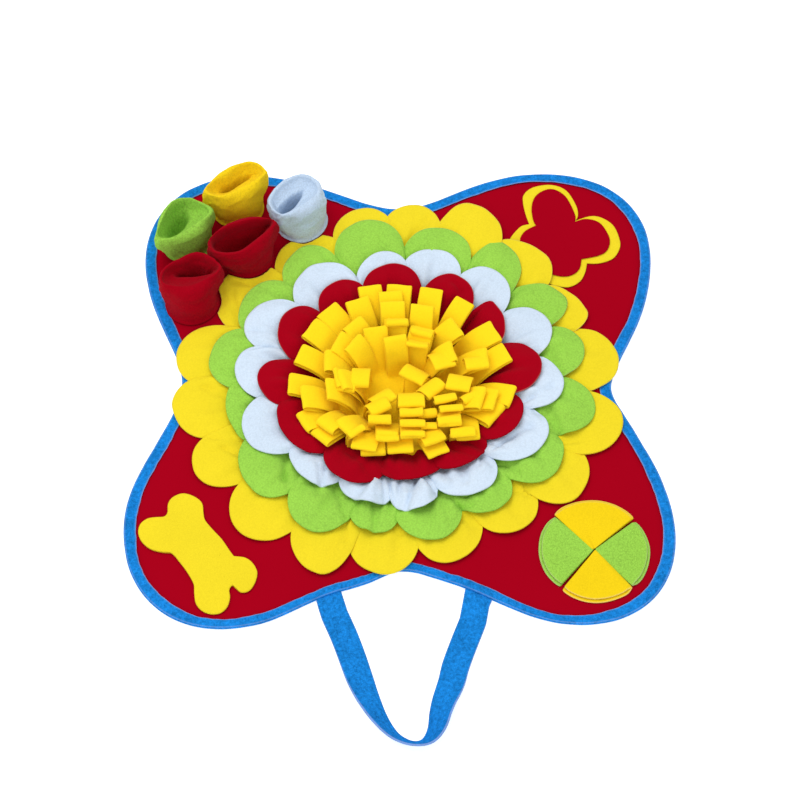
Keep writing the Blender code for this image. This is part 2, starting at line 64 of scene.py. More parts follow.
# The mat's edge: mean reach, waves as (waves per turn, cosine part, sine part), and bulges as
# (bearing, how far, degrees to either side).
EDGE_MEAN = 258.6
EDGE_WAVES = ((1, 0.8, -0.3), (2, -1.6, 0.3), (3, 1.0, 0.0), (4, -56.0, 1.5), (5, 1.9, -0.7))
EDGE_BULGES = (
    (22, 3, 16),
    (76, 5, 17),
    (93, -2.5, 8),
    (140, 3, 24),
    (161.5, -5.5, 12),
    (187, 4.5, 8),
    (199, -4, 8),
    (212, 3.5, 18),
    (243, 2.5, 10),
)
BASE_TOP = 3.0
RIM_TOP = 2.4  # the felt is pressed thinner inside the tape
RIM_BOTTOM = 1.1
RIM_INSET = 1.6
FELT_COLUMNS = 480
FELT_RINGS = 46
FELT_RIPPLE = 0.35
FELT_RIPPLE_SIZE = 70.0

TAPE_COLUMNS = 1500
TAPE_WIDTH = 11.0
TAPE_NARROW = 3.3  # how much less of the tape is turned up on the strap's side
TAPE_NARROW_SPREAD = 42.0  # how many degrees to each side of the strap
TAPE_NARROW_FADE = 12.0  # and over how many of them it fades out
TAPE_WAVES = ((9, 0.5, 0.7), (23, 0.35, 0.0), (61, 0.16, 1.1))
TAPE_PUCKER = 0.22
TAPE_UNEVEN = 0.45
TAPE_UNEVEN_SIZE = 5.5
TAPE_UNEVEN_REACH = 250  # the circle on which its unevenness is read
# How far each point round the tape's fold shows the painted highlight on its rounded edges.
TAPE_EDGE_HIGHLIGHTS = {6: 0.5, 7: 0.75, 11: 0.6, 12: 1.0, 13: 0.5}

STRAP_WIDTH = 24.0
STRAP_THICK = 1.9
STRAP_TUCK = 3.0  # how far the strap's ends go in under the tape
STRAP_LEFT_BEARINGS = (193.2, 197.8)
STRAP_RIGHT_BEARINGS = (164.6, 159.8)
STRAP_SMOOTH = 6
STRAP_ACROSS = 16
# inner edge x, inner edge y, how far the outer edge is turned up
STRAP_STATIONS = (
    (-45, -236, 0),
    (-36, -257, 0),
    (-28.5, -278, 4),
    (-22, -299, 15),
    (-16, -319, 33),
    (-9, -337, 48),
    (-1, -350, 58),
    (8, -356.5, 62),
    (16, -358, 63),
    (21.5, -355, 56),
    (25.5, -346, 48),
    (27, -333, 38),
    (29.5, -319, 27),
    (34.5, -302, 13),
    (38.5, -285, 4),
    (45.5, -265, 0),
    (54, -243, 0),
)

# Each petal: bearing and reach of its tip, then bearing and reach of the notch after it.
PETALS_YELLOW = (
    (4.6, 207, 12.6, 189),
    (19.2, 220, 32.2, 192),
    (44.3, 204, 53, 183),
    (66, 199, 71, 184),
    (82.7, 211, 93.6, 176),
    (103, 215, 115, 190),
    (126.4, 206, 134.8, 179),
    (144.6, 193, 153.6, 166),
    (166.4, 196, 174.3, 177),
    (183.4, 203, 193.5, 185),
    (199.6, 214, 211.3, 186),
    (221.6, 215, 232.9, 182),
    (241.7, 212, 251, 191),
    (262, 214, 270, 198),
    (278.7, 214, 290.3, 172),
    (305.3, 207, 316.3, 174),
    (326.6, 193, 338.7, 179),
    (349.2, 206, 356.6, 193),
)
PETALS_GREEN = (
    (14.8, 180, 28, 145),
    (33, 188, 47.8, 146),
    (60.1, 186, 68, 157),
    (78.7, 180, 89.2, 155),
    (101.3, 188, 112.4, 160),
    (125, 179, 136.6, 152),
    (146, 169, 157.4, 152),
    (167.9, 177, 180.5, 155),
    (187.3, 168, 196.5, 157),
    (207.3, 183, 219, 161),
    (228, 182, 244.5, 159),
    (256, 166, 266.1, 159),
    (277.3, 181, 290.2, 160),
    (303.4, 175, 314.3, 156),
    (328.1, 178, 335.9, 145),
    (350, 188, 1.8, 142),
)
PETALS_PALE_BLUE = (
    (15.8, 149, 27.5, 131),
    (39, 152, 54.2, 125),
    (67.6, 156, 80.4, 132),
    (95, 156, 105.9, 133),
    (117.8, 156, 135.5, 128),
    (147, 149, 163.4, 129),
    (175, 149, 183.2, 135),
    (192.2, 143, 206.1, 127),
    (215, 143, 230.5, 133),
    (244, 159, 259.4, 133),
    (273.1, 155, 283.2, 139),
    (294.1, 159, 309.6, 129),
    (325.1, 150, 340, 118),
    (354, 142, 2.7, 132),
)
PETALS_RED = (
    (27.7, 124, 44.5, 98),
    (49.5, 121, 70, 102),
    (86.7, 135, 101.2, 112),
    (115, 127, 131, 111),
    (143, 120, 159.7, 111),
    (175, 117, 187.6, 112),
    (203.2, 129, 219.1, 112),
    (235.3, 128, 253, 118),
    (266.8, 133, 279.3, 99),
    (300.3, 127, 313.2, 104),
    (327, 120, 340.9, 107),
    (357, 124, 13.3, 99),
)
# Creases in a row: from x, y to x, y, how high (minus for a trough), half width at each end.
CREASES_YELLOW = (
    (-187, -7, -160, -15, -2.5, 2.5, 3),
    (-164, -14, -154, -26, -3, 2, 3),
    (-164, -72, -143, -84, -2.7, 2, 3),
    (-27, -163, -26, -150, -2.5, 1.5, 3),
    (2, -164, -8, -149, -2.8, 1.5, 3),
    (-47, -172, -48, -150, -2.2, 2, 3),
    (56, -146, 71, -155, -2.8, 3, 2),
    (117, -125, 115, -107, -2.5, 2, 2),
    (4, 155, 28, 188, -3, 2.5, 4),
    (17, 150, 42, 182, 2, 4, 6),
    (-163, 114, -138, 109, -3.4, 3, 4),
    (-162, 104, -155, 70, -2.4, 3, 4),
    (-101, 155, -72, 160, -2.8, 3, 4),
    (55, -146, 71, -152, -1.4, 1.5, 2),
    (86, -116, 115, -120, -1.5, 1.6, 2),
    (-30, -155, -20, -160, -1.3, 1.5, 2),
    (-3, -155, 4, -163, -1.3, 1.5, 2),
    (152, -70, 167, -67, -1.2, 1.5, 2),
    (-184, -12, -160, -19, -1.6, 1.5, 2),
    (-160, -19, -149, -41, -1.6, 1.5, 2),
    (-179, -63, -146, -66, -1.5, 1.5, 2),
)
CREASES_GREEN = (
    (-29, -128, -28, -160, 2.4, 2, 4),
    (-23, -128, -22, -160, -3, 2, 3),
    (-102, -83, -105, -109, -3.9, 3, 3),
    (-58, -114, -48, -147, -3, 3, 3),
    (51, -136, 67, -136, -3, 3, 3),
    (92, -91, 108, -94, -3, 3, 3),
    (137, -24, 150, -62, -3.8, 4, 4),
    (144, 27, 154, 5, -3, 4, 4),
    (-78, -108, -73, -125, -2.4, 4, 4),
    (96, -91, 110, -104, -2.4, 1.6, 2.2),
    (43, -125, 58, -138, -2.6, 1.6, 2.4),
    (60, -128, 75, -119, -2.0, 1.6, 2.2),
    (-30, -133, -28, -156, -2.2, 1.6, 2.2),
    (118, -34, 149, -57, -2.2, 1.8, 2.5),
    (125, -51, 146, -31, -1.8, 1.8, 2.5),
    (-145, -12, -128, -29, -2.0, 1.8, 2.2),
    (-106, -84, -103, -110, -2.6, 1.6, 2.2),
)
CREASES_PALE_BLUE = (
    (-18, -104, -31, -141, 5.4, 1, 14),
    (20, -108, 22, -142, 5.4, 1, 15),
    (1, -106, 0, -150, -2.4, 3, 4),
    (-48, -113, -48, -139, -2.2, 4, 5),
    (-67, -97, -69, -117, -4.1, 2.5, 2.5),
    (58, -88, 61, -114, -3.2, 3, 4),
    (49, -93, 45, -117, 2.9, 3, 4),
    (92, -75, 123, -56, -3.9, 3, 4),
    (117, -40, 137, -42, -1.9, 4, 4),
    (117, -30, 145, -12, -2.9, 2, 3),
    (101, 32, 130, 27, -3.2, 6, 8),
    (-141, 51, -113, 46, -3.2, 2.5, 3),
    (-113, 46, -99, 27, -3.2, 2.5, 3),
    (16, -110, 7, -144, -3.4, 1.6, 2.4),
    (23, -109, 41, -135, -3.4, 1.6, 2.4),
    (-9, -111, -1, -147, -2.6, 1.6, 2.4),
    (-19, -109, -37, -131, -2.8, 1.5, 2.2),
    (-15, -110, -12, -139, -2.8, 1.5, 2.2),
    (44, -97, 48, -110, -2.2, 1.4, 1.8),
    (53, -93, 56, -107, -2.2, 1.4, 1.8),
    (63, -89, 64, -102, -2.0, 1.4, 1.8),
    (75, -85, 75, -97, -2.0, 1.4, 1.8),
    (84, -73, 100, -80, -2.2, 1.5, 2),
    (86, -82, 109, -64, -2.2, 1.5, 2),
    (112, -38, 123, -47, -1.8, 1.5, 2),
    (-139, 28, -120, 31, -1.8, 1.5, 2),
    (-74, -94, -71, -120, -2.6, 1.5, 2),
    (-143, -50, -118, -37, -1.6, 1.8, 2.4),
)
CREASES_RED = (
    (60, -70, 84, -86, -3.9, 4, 5),
    (52, 104, 61, 91, -2.5, 3, 3),
    (-96, -64, -82, -82, -1.8, 4, 4),
    (-48, -83, -16, -117, -2.0, 3, 4),
    (-16, -94, 2, -116, -2.2, 2.5, 3.5),
    (46, -77, 77, -92, -2.4, 2.5, 3.5),
    (70, -72, 90, -88, -2.2, 2.5, 3.5),
)
# name, colour, petals, reach of the sewn root, usual reach of the tips, height of the underside
# there, how far the row humps up between the two, how far its edge droops, creases, whether it
# meets cups and clover
PETAL_ROWS = (
    ("petals_yellow", "yellow", PETALS_YELLOW, 150, 207, 6.2, 1.4, 1.7, CREASES_YELLOW, True),
    ("petals_green", "green", PETALS_GREEN, 125, 179, 12.8, 5.2, 3.6, CREASES_GREEN, False),
    ("petals_pale_blue", "pale_blue", PETALS_PALE_BLUE, 101, 151, 19.4, 5.4, 3.8, CREASES_PALE_BLUE, False),
    ("petals_red", "red", PETALS_RED, 78, 126, 25.6, 4.6, 5.0, CREASES_RED, False),
)
PETAL_THICK = 1.7
PETAL_LIFT = 1.05  # the cloth's middle over the solid's underside
PETAL_CROWN = 2.2
PETAL_OVERLAP = 1.3  # degrees that a petal runs on under its neighbour
PETAL_TILE = 1.05  # half of how far its covered side lies lower than the covering one
PETAL_TILE_BACK = (172, 214)  # bearings where it is the other way round
PETAL_COLUMNS = 44
PETAL_ROWS_LONG = 34
PETAL_WAVE = 0.9
PETAL_WAVE_SIZE = 26.0
PETAL_FLUTTER = 1.3
PETAL_FLUTTER_SIZE = 15.0
PETAL_PLEAT = 2.2
PETAL_PLEAT_SHARES = (0.65, 0.35)  # how much of it the upper rows and the lowest row have
# The gathers across a petal: how many radians of wave, how its bearing shifts them, how high.
PETAL_GATHERS = ((5.2, 1.0, 1.0), (9.5, 2.3, 0.7), (15, 0.7, 0.5))
PETAL_RAGGED = 0.8
PETAL_ROOT_IN = 4.0
PETAL_LEAST = 4  # the least that the ends of its round edge lie out from the root
CREASE_WIDE = 9  # a crease at least this wide has straight sides, like a tent
CLOVER_LIFT = 3.2
CLOVER_LIFT_BEARINGS = (14, 58)
CLOVER_LIFT_FULL_AT = 0.6
CUP_CLEAR = 28.0
CUP_CLEAR_STEP = 0.5

# Each loop: x, y and height of the middle of its fold, the bearing that it points to, its width
# and, where it is bent over flat, how long that stretch is.
LOOPS_1 = (
    (-28, 93, 29, 349, 23),
    (1, 94, 29, 6, 25),
    (-8, 83, 34, 354, 24),
    (32, 90, 29, 10, 23),
    (64, 75, 30, 35, 21),
    (92, 41, 30, 67, 25),
    (102, 19, 28, 64, 23),
    (106, -31, 28, 112, 23),
    (91, -51, 26, 129, 27),
    (64, -74, 25, 176, 23),
    (37, -91, 26, 155, 22),
    (2, -89, 27, 176, 24),
    (-23, -90, 25, 177, 23),
    (-73, -76, 28, 224, 22),
    (-89, -60, 29, 239, 24),
    (-102, -17, 29, 273, 25),
    (-94, 16, 29, 290, 22),
    (-85, 45, 30, 304, 24),
    (-69, 65, 30, 313, 25),
    (-40, 75, 33, 338, 24),
)
LOOPS_2 = (
    (-6, 69, 38, 356, 24),
    (23, 65, 38, 6, 23),
    (56, 41, 37, 64, 25),
    (83, 7, 36, 88, 23),
    (90, -38, 34, 107, 24),
    (78, -39, 38, 105, 23),
    (47, -66, 37, 177, 22),
    (34, -83, 34, 155, 23),
    (12, -79, 36, 179, 22),
    (-10, -82, 36, 180, 23),
    (-32, -89, 32, 192, 24),
    (-51, -71, 37, 232, 22),
    (-68, -68, 35, 222, 21),
    (-89, -36, 36, 262, 25),
    (-69, 3, 37, 269, 25),
    (-59, 24, 38, 295, 25),
    (-45, 45, 38, 317, 23),
)
LOOPS_3 = (
    (-2, 46, 41, 6, 23),
    (23, 37, 41, 19, 24),
    (52, 12, 40, 74, 23),
    (74, -6, 38, 172, 23, 15),
    (70, -38, 37, 150, 22, 6),
    (47, -66, 39, 172, 22, 5),
    (13, -79, 39, 179, 23, 4),
    (-10, -78, 36, 180, 21, 4),
    (-37, -76, 39, 147, 18, 4),
    (-66, -30, 41, 267, 24),
    (-59, -19, 42, 255, 22),
    (-44, 20, 43, 310, 22),
    (-22, 37, 42, 352, 23),
    (59, -76, 34, 178, 24, 8),
)
LOOPS_4 = (
    (-4, 25, 46, 348, 22),
    (-1, 37, 46, 178, 22),
    (21, 27, 45, 197, 22),
    (44, -5, 39, 160, 22, 21),
    (54, -30, 39, 194, 23, 19),
    (49, -54, 41, 170, 22, 7),
    (13, -69, 41, 178, 24, 5),
    (-17, -66, 41, 178, 22, 6),
    (-54, -23, 45, 255, 22),
    (28, -68, 34, 178, 16, 5),
)
LOOPS_5 = (
    (17, 15, 43, 190, 21),
    (44, -43, 40, 166, 22, 8),
    (12, -58, 41, 178, 23, 5),
    (-15, -53, 38, 152, 21, 14),
    (-49, -31, 39, 190, 17, 20),
    (27, -55, 34, 172, 18, 5),
)
LOOPS_6 = (
    (11, -17, 36, 210, 25, 16),
    (12, -47, 38, 178, 26, 16),
    (-10, -43, 36, 146, 23, 15),
    (-36, -27, 40, 184, 18, 23),
    (36, -32, 38, 137, 23, 14),
)
# name, its loops, run of a loop's leg
LOOP_RINGS = (
    ("loops_ring_1", LOOPS_1, 48),
    ("loops_ring_2", LOOPS_2, 48),
    ("loops_ring_3", LOOPS_3, 48),
    ("loops_ring_4", LOOPS_4, 48),
    ("loops_ring_5", LOOPS_5, 47),
    ("loops_ring_6", LOOPS_6, 46),
)
LOOP_THICK = 1.7
LOOP_ROOT_HEIGHT = 5.6
LOOP_ROOT_SPREAD = 1.2
LOOP_END_SPREAD = 2.4
LOOP_OPEN_AT = 0.63
LOOP_BEND_OUT = 0.3
LOOP_BEND_UP = 0.75
LOOP_LEG_STEPS = 12
LOOP_FOLD_STEPS = 6
LOOP_ACROSS = 5
LOOP_LEAST_RUN = 7.0
LOOP_REACH = 0.93  # how far a loop's root and its end lie apart, as a share of its leg
LOOP_FOOT = 13.0  # the strip's sewn end, flat on the felt on either side of the seam
LOOP_FOOT_STEPS = 2
LOOP_ROLL = 5.0
HEADER_MIDDLE = (4, -22)
HEADER_IN = 0.6
HEADER_OUT = 48
HEADER_TURN = 366  # degrees, so that its ends overlap
LOOP_UNEVEN = 0.35
LOOP_CRUMPLE = 1.3

# Each cup: x, y and reach of its foot, height, how far its inside slopes down before it drops,
# x, y of the middle of its floor, how far the hem closes it, colour; then round its rim from the
# right anticlockwise: x, y of the ridge, and x, y where the inside starts to drop.
CUPS = {
    "cup_green": (
        (-209, 162, 24, 44, 14, -216, 168, 0.95, "green"),
        (
            (-183, 171, -205, 173),
            (-194, 183, -209, 181),
            (-207, 187, -214, 184),
            (-220, 184, -220, 181),
            (-230, 162, -227, 168),
            (-234, 141, -229, 152),
            (-220, 138, -223, 148),
            (-199, 153, -210, 160),
        ),
    ),
    "cup_yellow": (
        (-161, 205, 25, 49, 13, -161, 209, 0.95, "yellow"),
        (
            (-132, 213, -146, 219),
            (-136, 224, -149, 221),
            (-150, 228, -157, 219),
            (-167, 219, -166, 212),
            (-187, 199, -176, 204),
            (-188, 190, -176, 199),
            (-171, 186, -166, 202),
            (-150, 198, -154, 212),
        ),
    ),
    "cup_pale_blue": (
        (-97, 188, 25, 47, 10, -105, 190, 0.6, "pale_blue"),
        (
            (-78, 192, -94, 199),
            (-83, 209, -95, 201),
            (-99, 214, -101, 199),
            (-116, 203, -109, 192),
            (-126, 186, -117, 181),
            (-123, 172, -119, 174),
            (-111, 165, -113, 170),
            (-92, 177, -100, 184),
        ),
    ),
    "cup_red_rear": (
        (-149, 145, 25, 46, 15, -154, 146, 0.95, "red"),
        (
            (-120, 155, -128, 161),
            (-129, 162, -134, 160),
            (-146, 160, -149, 156),
            (-168, 152, -167, 149),
            (-183, 135, -179, 138),
            (-177, 121, -175, 127),
            (-156, 120, -158, 127),
            (-135, 135, -140, 142),
        ),
    ),
    "cup_red_front": (
        (-200, 90, 25, 44, 11, -198, 107, 0.95, "red"),
        (
            (-170, 104, -178, 108),
            (-178, 115, -185, 112),
            (-194, 122, -197, 115),
            (-213, 113, -208, 110),
            (-226, 99, -216, 105),
            (-224, 85, -213, 101),
            (-200, 82, -198, 101),
            (-179, 93, -184, 103),
        ),
    ),
}
CUP_COLUMNS = 120
CUP_ROWS = 72
CUP_DENT = 2.2
CUP_RUCK = 1.1
CUP_ROLL = (68, 46, 23)  # where the wall over the belly is shaped, in degrees round its curve
CUP_LIP = 4.2  # how wide the top of the rolled rim is
CUP_LIP_DROP = 4  # and how far it has come down where the slope inside starts

# The clover's two outlines, as points round each lobe from notch to notch.
CLOVER_OUTER = (
    ((176.6, 188.8), (179.4, 195.7), (178, 208.2), (168.8, 227), (153.5, 234), (135.7, 230.8),
     (126.3, 222), (124.9, 211.9), (127, 197), (130.2, 184.8)),
    ((130.2, 184.8), (122, 182.1), (113.7, 172.3), (109.5, 163.7), (108, 152), (112, 138),
     (122, 128)),
    ((122, 128), (132, 121), (142, 115), (154.8, 110), (166.9, 109), (177.5, 115.6),
     (183, 126), (185.4, 137.1)),
    ((185.4, 137.1), (197.2, 137.1), (210.8, 142.5), (217.8, 152.8), (219.5, 163.7),
     (214.6, 182.1), (203.2, 192.6), (191.3, 194.5), (176.6, 188.8)),
)
CLOVER_INNER = (
    ((175.8, 186.3), (176.2, 195.6), (168.2, 217.4), (156.6, 226.9), (146.4, 225.6),
     (137.1, 217.4), (133.2, 204.3), (134.1, 189.4), (136.8, 182)),
    ((136.8, 182), (126.6, 175.9), (121.4, 168.5), (120.2, 162.4), (120, 150), (127, 138)),
    ((127, 138), (138, 129), (147.4, 124.5), (154.1, 121.5), (163.9, 120.3), (172.8, 123.9),
     (178.1, 131), (180.1, 141.2)),
    ((180.1, 141.2), (197.5, 145.5), (205.7, 151.5), (209.3, 162.4), (207, 173.4),
     (199.7, 185.7), (186.9, 190), (175.8, 186.3)),
)
CLOVER_MIDDLE = (154, 165)
APPLIQUE_THICK = 1.5

BONE_MIDDLE = (-179, -181)
BONE_OUTLINE = (
    (-210, -140), (-210, -131), (-206, -124), (-197, -120), (-187, -123), (-179, -130),
    (-177, -141), (-175, -148), (-168, -157), (-159, -167), (-151, -179), (-145, -186),
    (-138, -185.5), (-131, -190), (-126, -199), (-127, -209), (-132, -218), (-139, -220),
    (-143, -217), (-147, -213), (-150, -217), (-149, -225), (-151, -234), (-157, -240),
    (-165, -241), (-173, -238), (-179, -231), (-181, -221), (-182, -212), (-188, -201),
    (-196, -190), (-204, -181), (-213, -180), (-223, -177), (-231, -170), (-235, -161),
    (-234, -152), (-228, -146), (-220, -144.5), (-213, -144),
)
BONE_THICK = 3.0

BALL_MIDDLE = (176, -178)
# name, colour, bearings of the folded and of the open straight edge, reach of the round edge,
# how far inside its quarter the folded and the open edge lie, extra height along the fold
BALL_FLAPS = (
    ("ball_flap_far", "yellow", 317, 50, 51.5, -0.6, 0.3, 1.2),
    ("ball_flap_right", "green", 138, 52, 50, 0.7, 0.3, 0.0),
    ("ball_flap_near", "yellow", 140, 219, 51.5, 0.4, 0.6, 0.0),
    ("ball_flap_left", "green", 314, 221, 50, 0.3, 0.5, 0.0),
)
FLAP_THICK = 1.6
FLAP_STEP_IN = 2.6
FLAP_LOW = 4.15
FLAP_HIGH = 6.5
FLAP_CORNER = 0.6  # how far from the ball's middle its point starts
FLAP_FOLD = 0.08  # the part of each layer that the round of the fold takes up

# The camera stands over the strap's side and looks down at the mat.
CAMERA_PLACE = (0.0014, -0.9464, 1.5388)
CAMERA_DOWN = 58.88
CAMERA_LENS = 85.68
SENSOR = 36.0
FLOOR_HALF = 4.0  # metres
FLOOR_DROP = 0.0004  # metres that it lies under the mat
SKY_STRENGTH = 0.64
# Each lamp's name, place, width and depth in metres, and its strength in watts.
SOFT_BOXES = (
    ("key_soft_box", (-0.6, 0.55, 2.3), 2.4, 1.6, 33.0),
    ("fill_soft_box", (0.4, -1.7, 1.5), 2.0, 1.2, 12.0),
)


def length_property(name, description, default):
    return bpy.props.FloatProperty(name=name, description=description, default=default, unit="LENGTH")


class MatSizes(bpy.types.PropertyGroup):
    """Sizes of the mat's cloths."""

    felt_ripple: length_property("Felt ripple", "How far the felt waves up and down", FELT_RIPPLE * MM)
    petal_cloth: length_property("Petal cloth", "Thickness of the petals' fleece", PETAL_THICK * MM)
    petal_wave: length_property("Petal wave", "How unevenly the petals lie", PETAL_WAVE * MM)
    loop_cloth: length_property("Loop cloth", "Thickness of the loops' fleece", LOOP_THICK * MM)
    loop_spread: length_property(
        "Loop opening", "Half the way between a loop's two legs at its end", LOOP_END_SPREAD * MM
    )
    bone_thickness: length_property("Bone", "Thickness of the bone", BONE_THICK * MM)
    flap_cloth: length_property("Ball cloth", "Thickness of each layer of the ball", FLAP_THICK * MM)
    floor_size: length_property("Floor", "Half the floor's width", FLOOR_HALF)


def colour_property(name, description, default):
    return bpy.props.FloatVectorProperty(
        name=name, description=description, default=default, subtype="COLOR", min=0, max=1
    )


class MatColours(bpy.types.PropertyGroup):
    """Colours of the mat's cloths."""

    burgundy: colour_property("Felt", "Colour of the felt", (0.34, 0.001, 0.010))
    blue: colour_property("Tape", "Colour of the binding and the strap", (0.010, 0.195, 0.585))
    yellow: colour_property("Yellow", "Colour of the yellow fleece", (0.82, 0.650, 0.021))
    loops: colour_property("Loops", "Colour of the loops' fleece", (0.99, 0.685, 0.014))
    flap_yellow: colour_property("Ball yellow", "Colour of the ball's yellow fleece", (0.85, 0.60, 0.009))
    green: colour_property("Green", "Colour of the green fleece", (0.32, 0.63, 0.075))
    pale_blue: colour_property("Pale blue", "Colour of the pale fleece", (0.61, 0.72, 0.85))
    # The cup's colour is bluer than the pale fleece to cancel the yellow light that the petals bounce onto
    # it: a painted correction of light.
    pale_cup: colour_property("Pale cup", "Colour of the pale cup", (0.58, 0.72, 0.90))
    red: colour_property("Red", "Colour of the red fleece", (0.34, 0.001, 0.009))


# Outlines and heights that more than one piece uses


def at_bearing(bearing, reach, height=0.0):
    """The point at a compass bearing and a reach from the flower's middle."""
    turn = radians(bearing)
    return Vector((reach * sin(turn), reach * cos(turn), height))


def edge_reach(bearing):
    turn = radians(bearing)
    reach = EDGE_MEAN + sum(a * cos(n * turn) + b * sin(n * turn) for n, a, b in EDGE_WAVES)
    for middle, height, half in EDGE_BULGES:
        off = abs((bearing - middle + 180) % 360 - 180) / half
        if off < 1:
            reach += height * (1 + cos(pi * off)) / 2
    return reach


def edge_point(bearing, inset, height=0.0):
    """A point this far inside the mat's edge, measured square to the edge."""
    here = at_bearing(bearing, edge_reach(bearing))
    along = at_bearing(bearing + 0.5, edge_reach(bearing + 0.5)) - here
    inward = Vector((along.y, -along.x, 0)).normalized()
    return here + inward * inset + Vector((0, 0, height))


def swell(place, size, seed=0.0):
    """A smooth uneven value from about -1 to 1 at a place, the same each run."""
    return noise.noise(Vector((place.x / size + seed, place.y / size, place.z / size)))


def ease(part):
    part = min(1.0, max(0.0, part))
    return part * part * (3 - 2 * part)


def tape_narrowing(bearing):
    """How much less of the tape is turned up over the felt's edge here."""
    off = abs(bearing - 180)
    return TAPE_NARROW * ease((TAPE_NARROW_SPREAD - off) / TAPE_NARROW_FADE)


def smooth_through(points, part, closed=False):
    """The point at part, 0 to 1, of a smooth curve through these points."""
    count = len(points)
    spans = count if closed else count - 1
    at = min(part, 1.0) * spans
    k = min(int(at), spans - 1)
    t = at - k
    if closed:
        a, b, c, d = (points[(k + i) % count] for i in (-1, 0, 1, 2))
    else:
        a, b, c, d = (points[min(max(k + i, 0), count - 1)] for i in (-1, 0, 1, 2))
    a, b, c, d = Vector(a), Vector(b), Vector(c), Vector(d)
    bend = (2 * a - 5 * b + 4 * c - d) * t * t + (3 * b - 3 * c + d - a) * t**3
    return (2 * b + (c - a) * t + bend) / 2


# Making meshes


def warped_grid(bm, across, along, place, size=(1.0, 1.0), highlighted=None):
    """Adds a grid and moves each of its points to place(u, v), both 0 to 1.

    Its map holds the cloth's own size in metres, from size in millimetres, and the last argument, a
    function of (u, v), says how strongly a point shows the painted edge highlight."""
    highlight_layer = bm.verts.layers.float.get(EDGE_HIGHLIGHT) or bm.verts.layers.float.new(EDGE_HIGHLIGHT)
    sheet = bm.loops.layers.uv.get(CLOTH_MAP) or bm.loops.layers.uv.new(CLOTH_MAP)
    made = bmesh.ops.create_grid(bm, x_segments=across, y_segments=along, size=0.5)
    for face in {face for vert in made["verts"] for face in vert.link_faces}:
        for corner in face.loops:
            spot = corner.vert.co
            corner[sheet].uv = ((spot.x + 0.5) * size[0] * MM, (spot.y + 0.5) * size[1] * MM)
    for vert in made["verts"]:
        u, v = round((vert.co.x + 0.5) * across) / across, round((vert.co.y + 0.5) * along) / along
        if highlighted:
            vert[highlight_layer] = highlighted(u, v)
        vert.co = place(u, v)
    return made["verts"]


# Painted highlight along a strip's two long cut edges.
def side_highlights(u, v):
    return 0.85 if u in (0, 1) else 0.0


# Painted highlight along a sheet's far cut edge.
def end_highlights(u, v):
    return 1.0 if v == 1 else 0.0


def closed_points(points):
    """A function of 0 to 1 that runs along straight spans through these points."""
    def place(part):
        at = part * (len(points) - 1)
        k = min(int(at), len(points) - 2)
        return Vector(points[k]).lerp(Vector(points[k + 1]), at - k)
    return place


def linked(name, data):
    """A new object in the scene for a mesh, a lamp or a camera."""
    made = bpy.data.objects.new(name, data)
    bpy.context.scene.collection.objects.link(made)
    return made


def finish_piece(name, bm, material, slot, nodes, thickness=0.0, levels=0):
    """Makes the object at the origin, gives its cloth a thickness and hides the imported pieces that it
    stands in for.
    """
    bmesh.ops.remove_doubles(bm, verts=bm.verts, dist=WELD)
    bmesh.ops.recalc_face_normals(bm, faces=bm.faces)
    bm.transform(Matrix.Scale(MM, 4))
    mesh = bpy.data.meshes.new(name)
    bm.to_mesh(mesh)
    bm.free()
    mesh.materials.append(material)
    mesh.shade_smooth()
    piece = linked(name, mesh)
    if thickness:
        cloth = piece.modifiers.new("cloth thickness", "SOLIDIFY")
        cloth.thickness = thickness
        cloth.offset = 0
        cloth.use_even_offset = False
    if levels:
        soft = piece.modifiers.new("soft edges", "SUBSURF")
        soft.levels = levels
        soft.render_levels = levels
    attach(piece, "root")
    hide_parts(*nodes)
    return piece


# Shared material effects


def start_group(name, settings):
    """A group for one kind of cloth, whose own settings are named inputs."""
    group = bpy.data.node_groups.new(name, "ShaderNodeTree")
    sockets = group.interface
    sockets.new_socket("Vector", in_out="INPUT", socket_type="NodeSocketVector")
    sockets.new_socket("Colour", in_out="INPUT", socket_type="NodeSocketColor")
    for label, value in settings.items():
        socket = sockets.new_socket(label, in_out="INPUT", socket_type="NodeSocketFloat")
        socket.default_value = value
    for label, kind in (("Color", "Color"), ("Roughness", "Float"), ("Height", "Float")):
        sockets.new_socket(label, in_out="OUTPUT", socket_type="NodeSocket" + kind)
    return group, group.nodes.new("NodeGroupInput"), group.nodes.new("NodeGroupOutput")


def end_group(group, enter, leave, grain, drift, roughness, pile):
    """Puts out the colour, lighter or darker by grain and drift, the roughness and the height."""
    value = maths(group, "ADD", maths(group, "ADD", 1.0, grain), drift)
    group.links.new(toned(group, enter.outputs["Colour"], value), leave.inputs["Color"])
    group.links.new(roughness, leave.inputs["Roughness"])
    group.links.new(pile, leave.inputs["Height"])
    return group


def maths(tree, operation, *values):
    """A maths node fed with sockets or numbers."""
    node = tree.nodes.new("ShaderNodeMath")
    node.operation = operation
    for socket, value in zip(node.inputs, values):
        if isinstance(value, (int, float)):
            socket.default_value = value
        else:
            tree.links.new(value, socket)
    return node.outputs[0]


def swing(tree, value, middle, amount):
    """How far a value lies from its middle, times an amount."""
    return maths(tree, "MULTIPLY", maths(tree, "SUBTRACT", value, middle), amount)


def noise_texture(tree, vector, scale, detail=2.0, roughness=0.5):
    node = tree.nodes.new("ShaderNodeTexNoise")
    node.inputs["Detail"].default_value = detail
    node.inputs["Roughness"].default_value = roughness
    tree.links.new(vector, node.inputs["Vector"])
    if isinstance(scale, (int, float)):
        node.inputs["Scale"].default_value = scale
    else:
        tree.links.new(scale, node.inputs["Scale"])
    return node.outputs["Fac"]


def toned(tree, colour, value, saturation=1.0):
    """A colour made lighter or darker by a value round 1."""
    node = tree.nodes.new("ShaderNodeHueSaturation")
    tree.links.new(colour, node.inputs["Color"])
    tree.links.new(value, node.inputs["Value"])
    node.inputs["Saturation"].default_value = saturation
    return node.outputs["Color"]


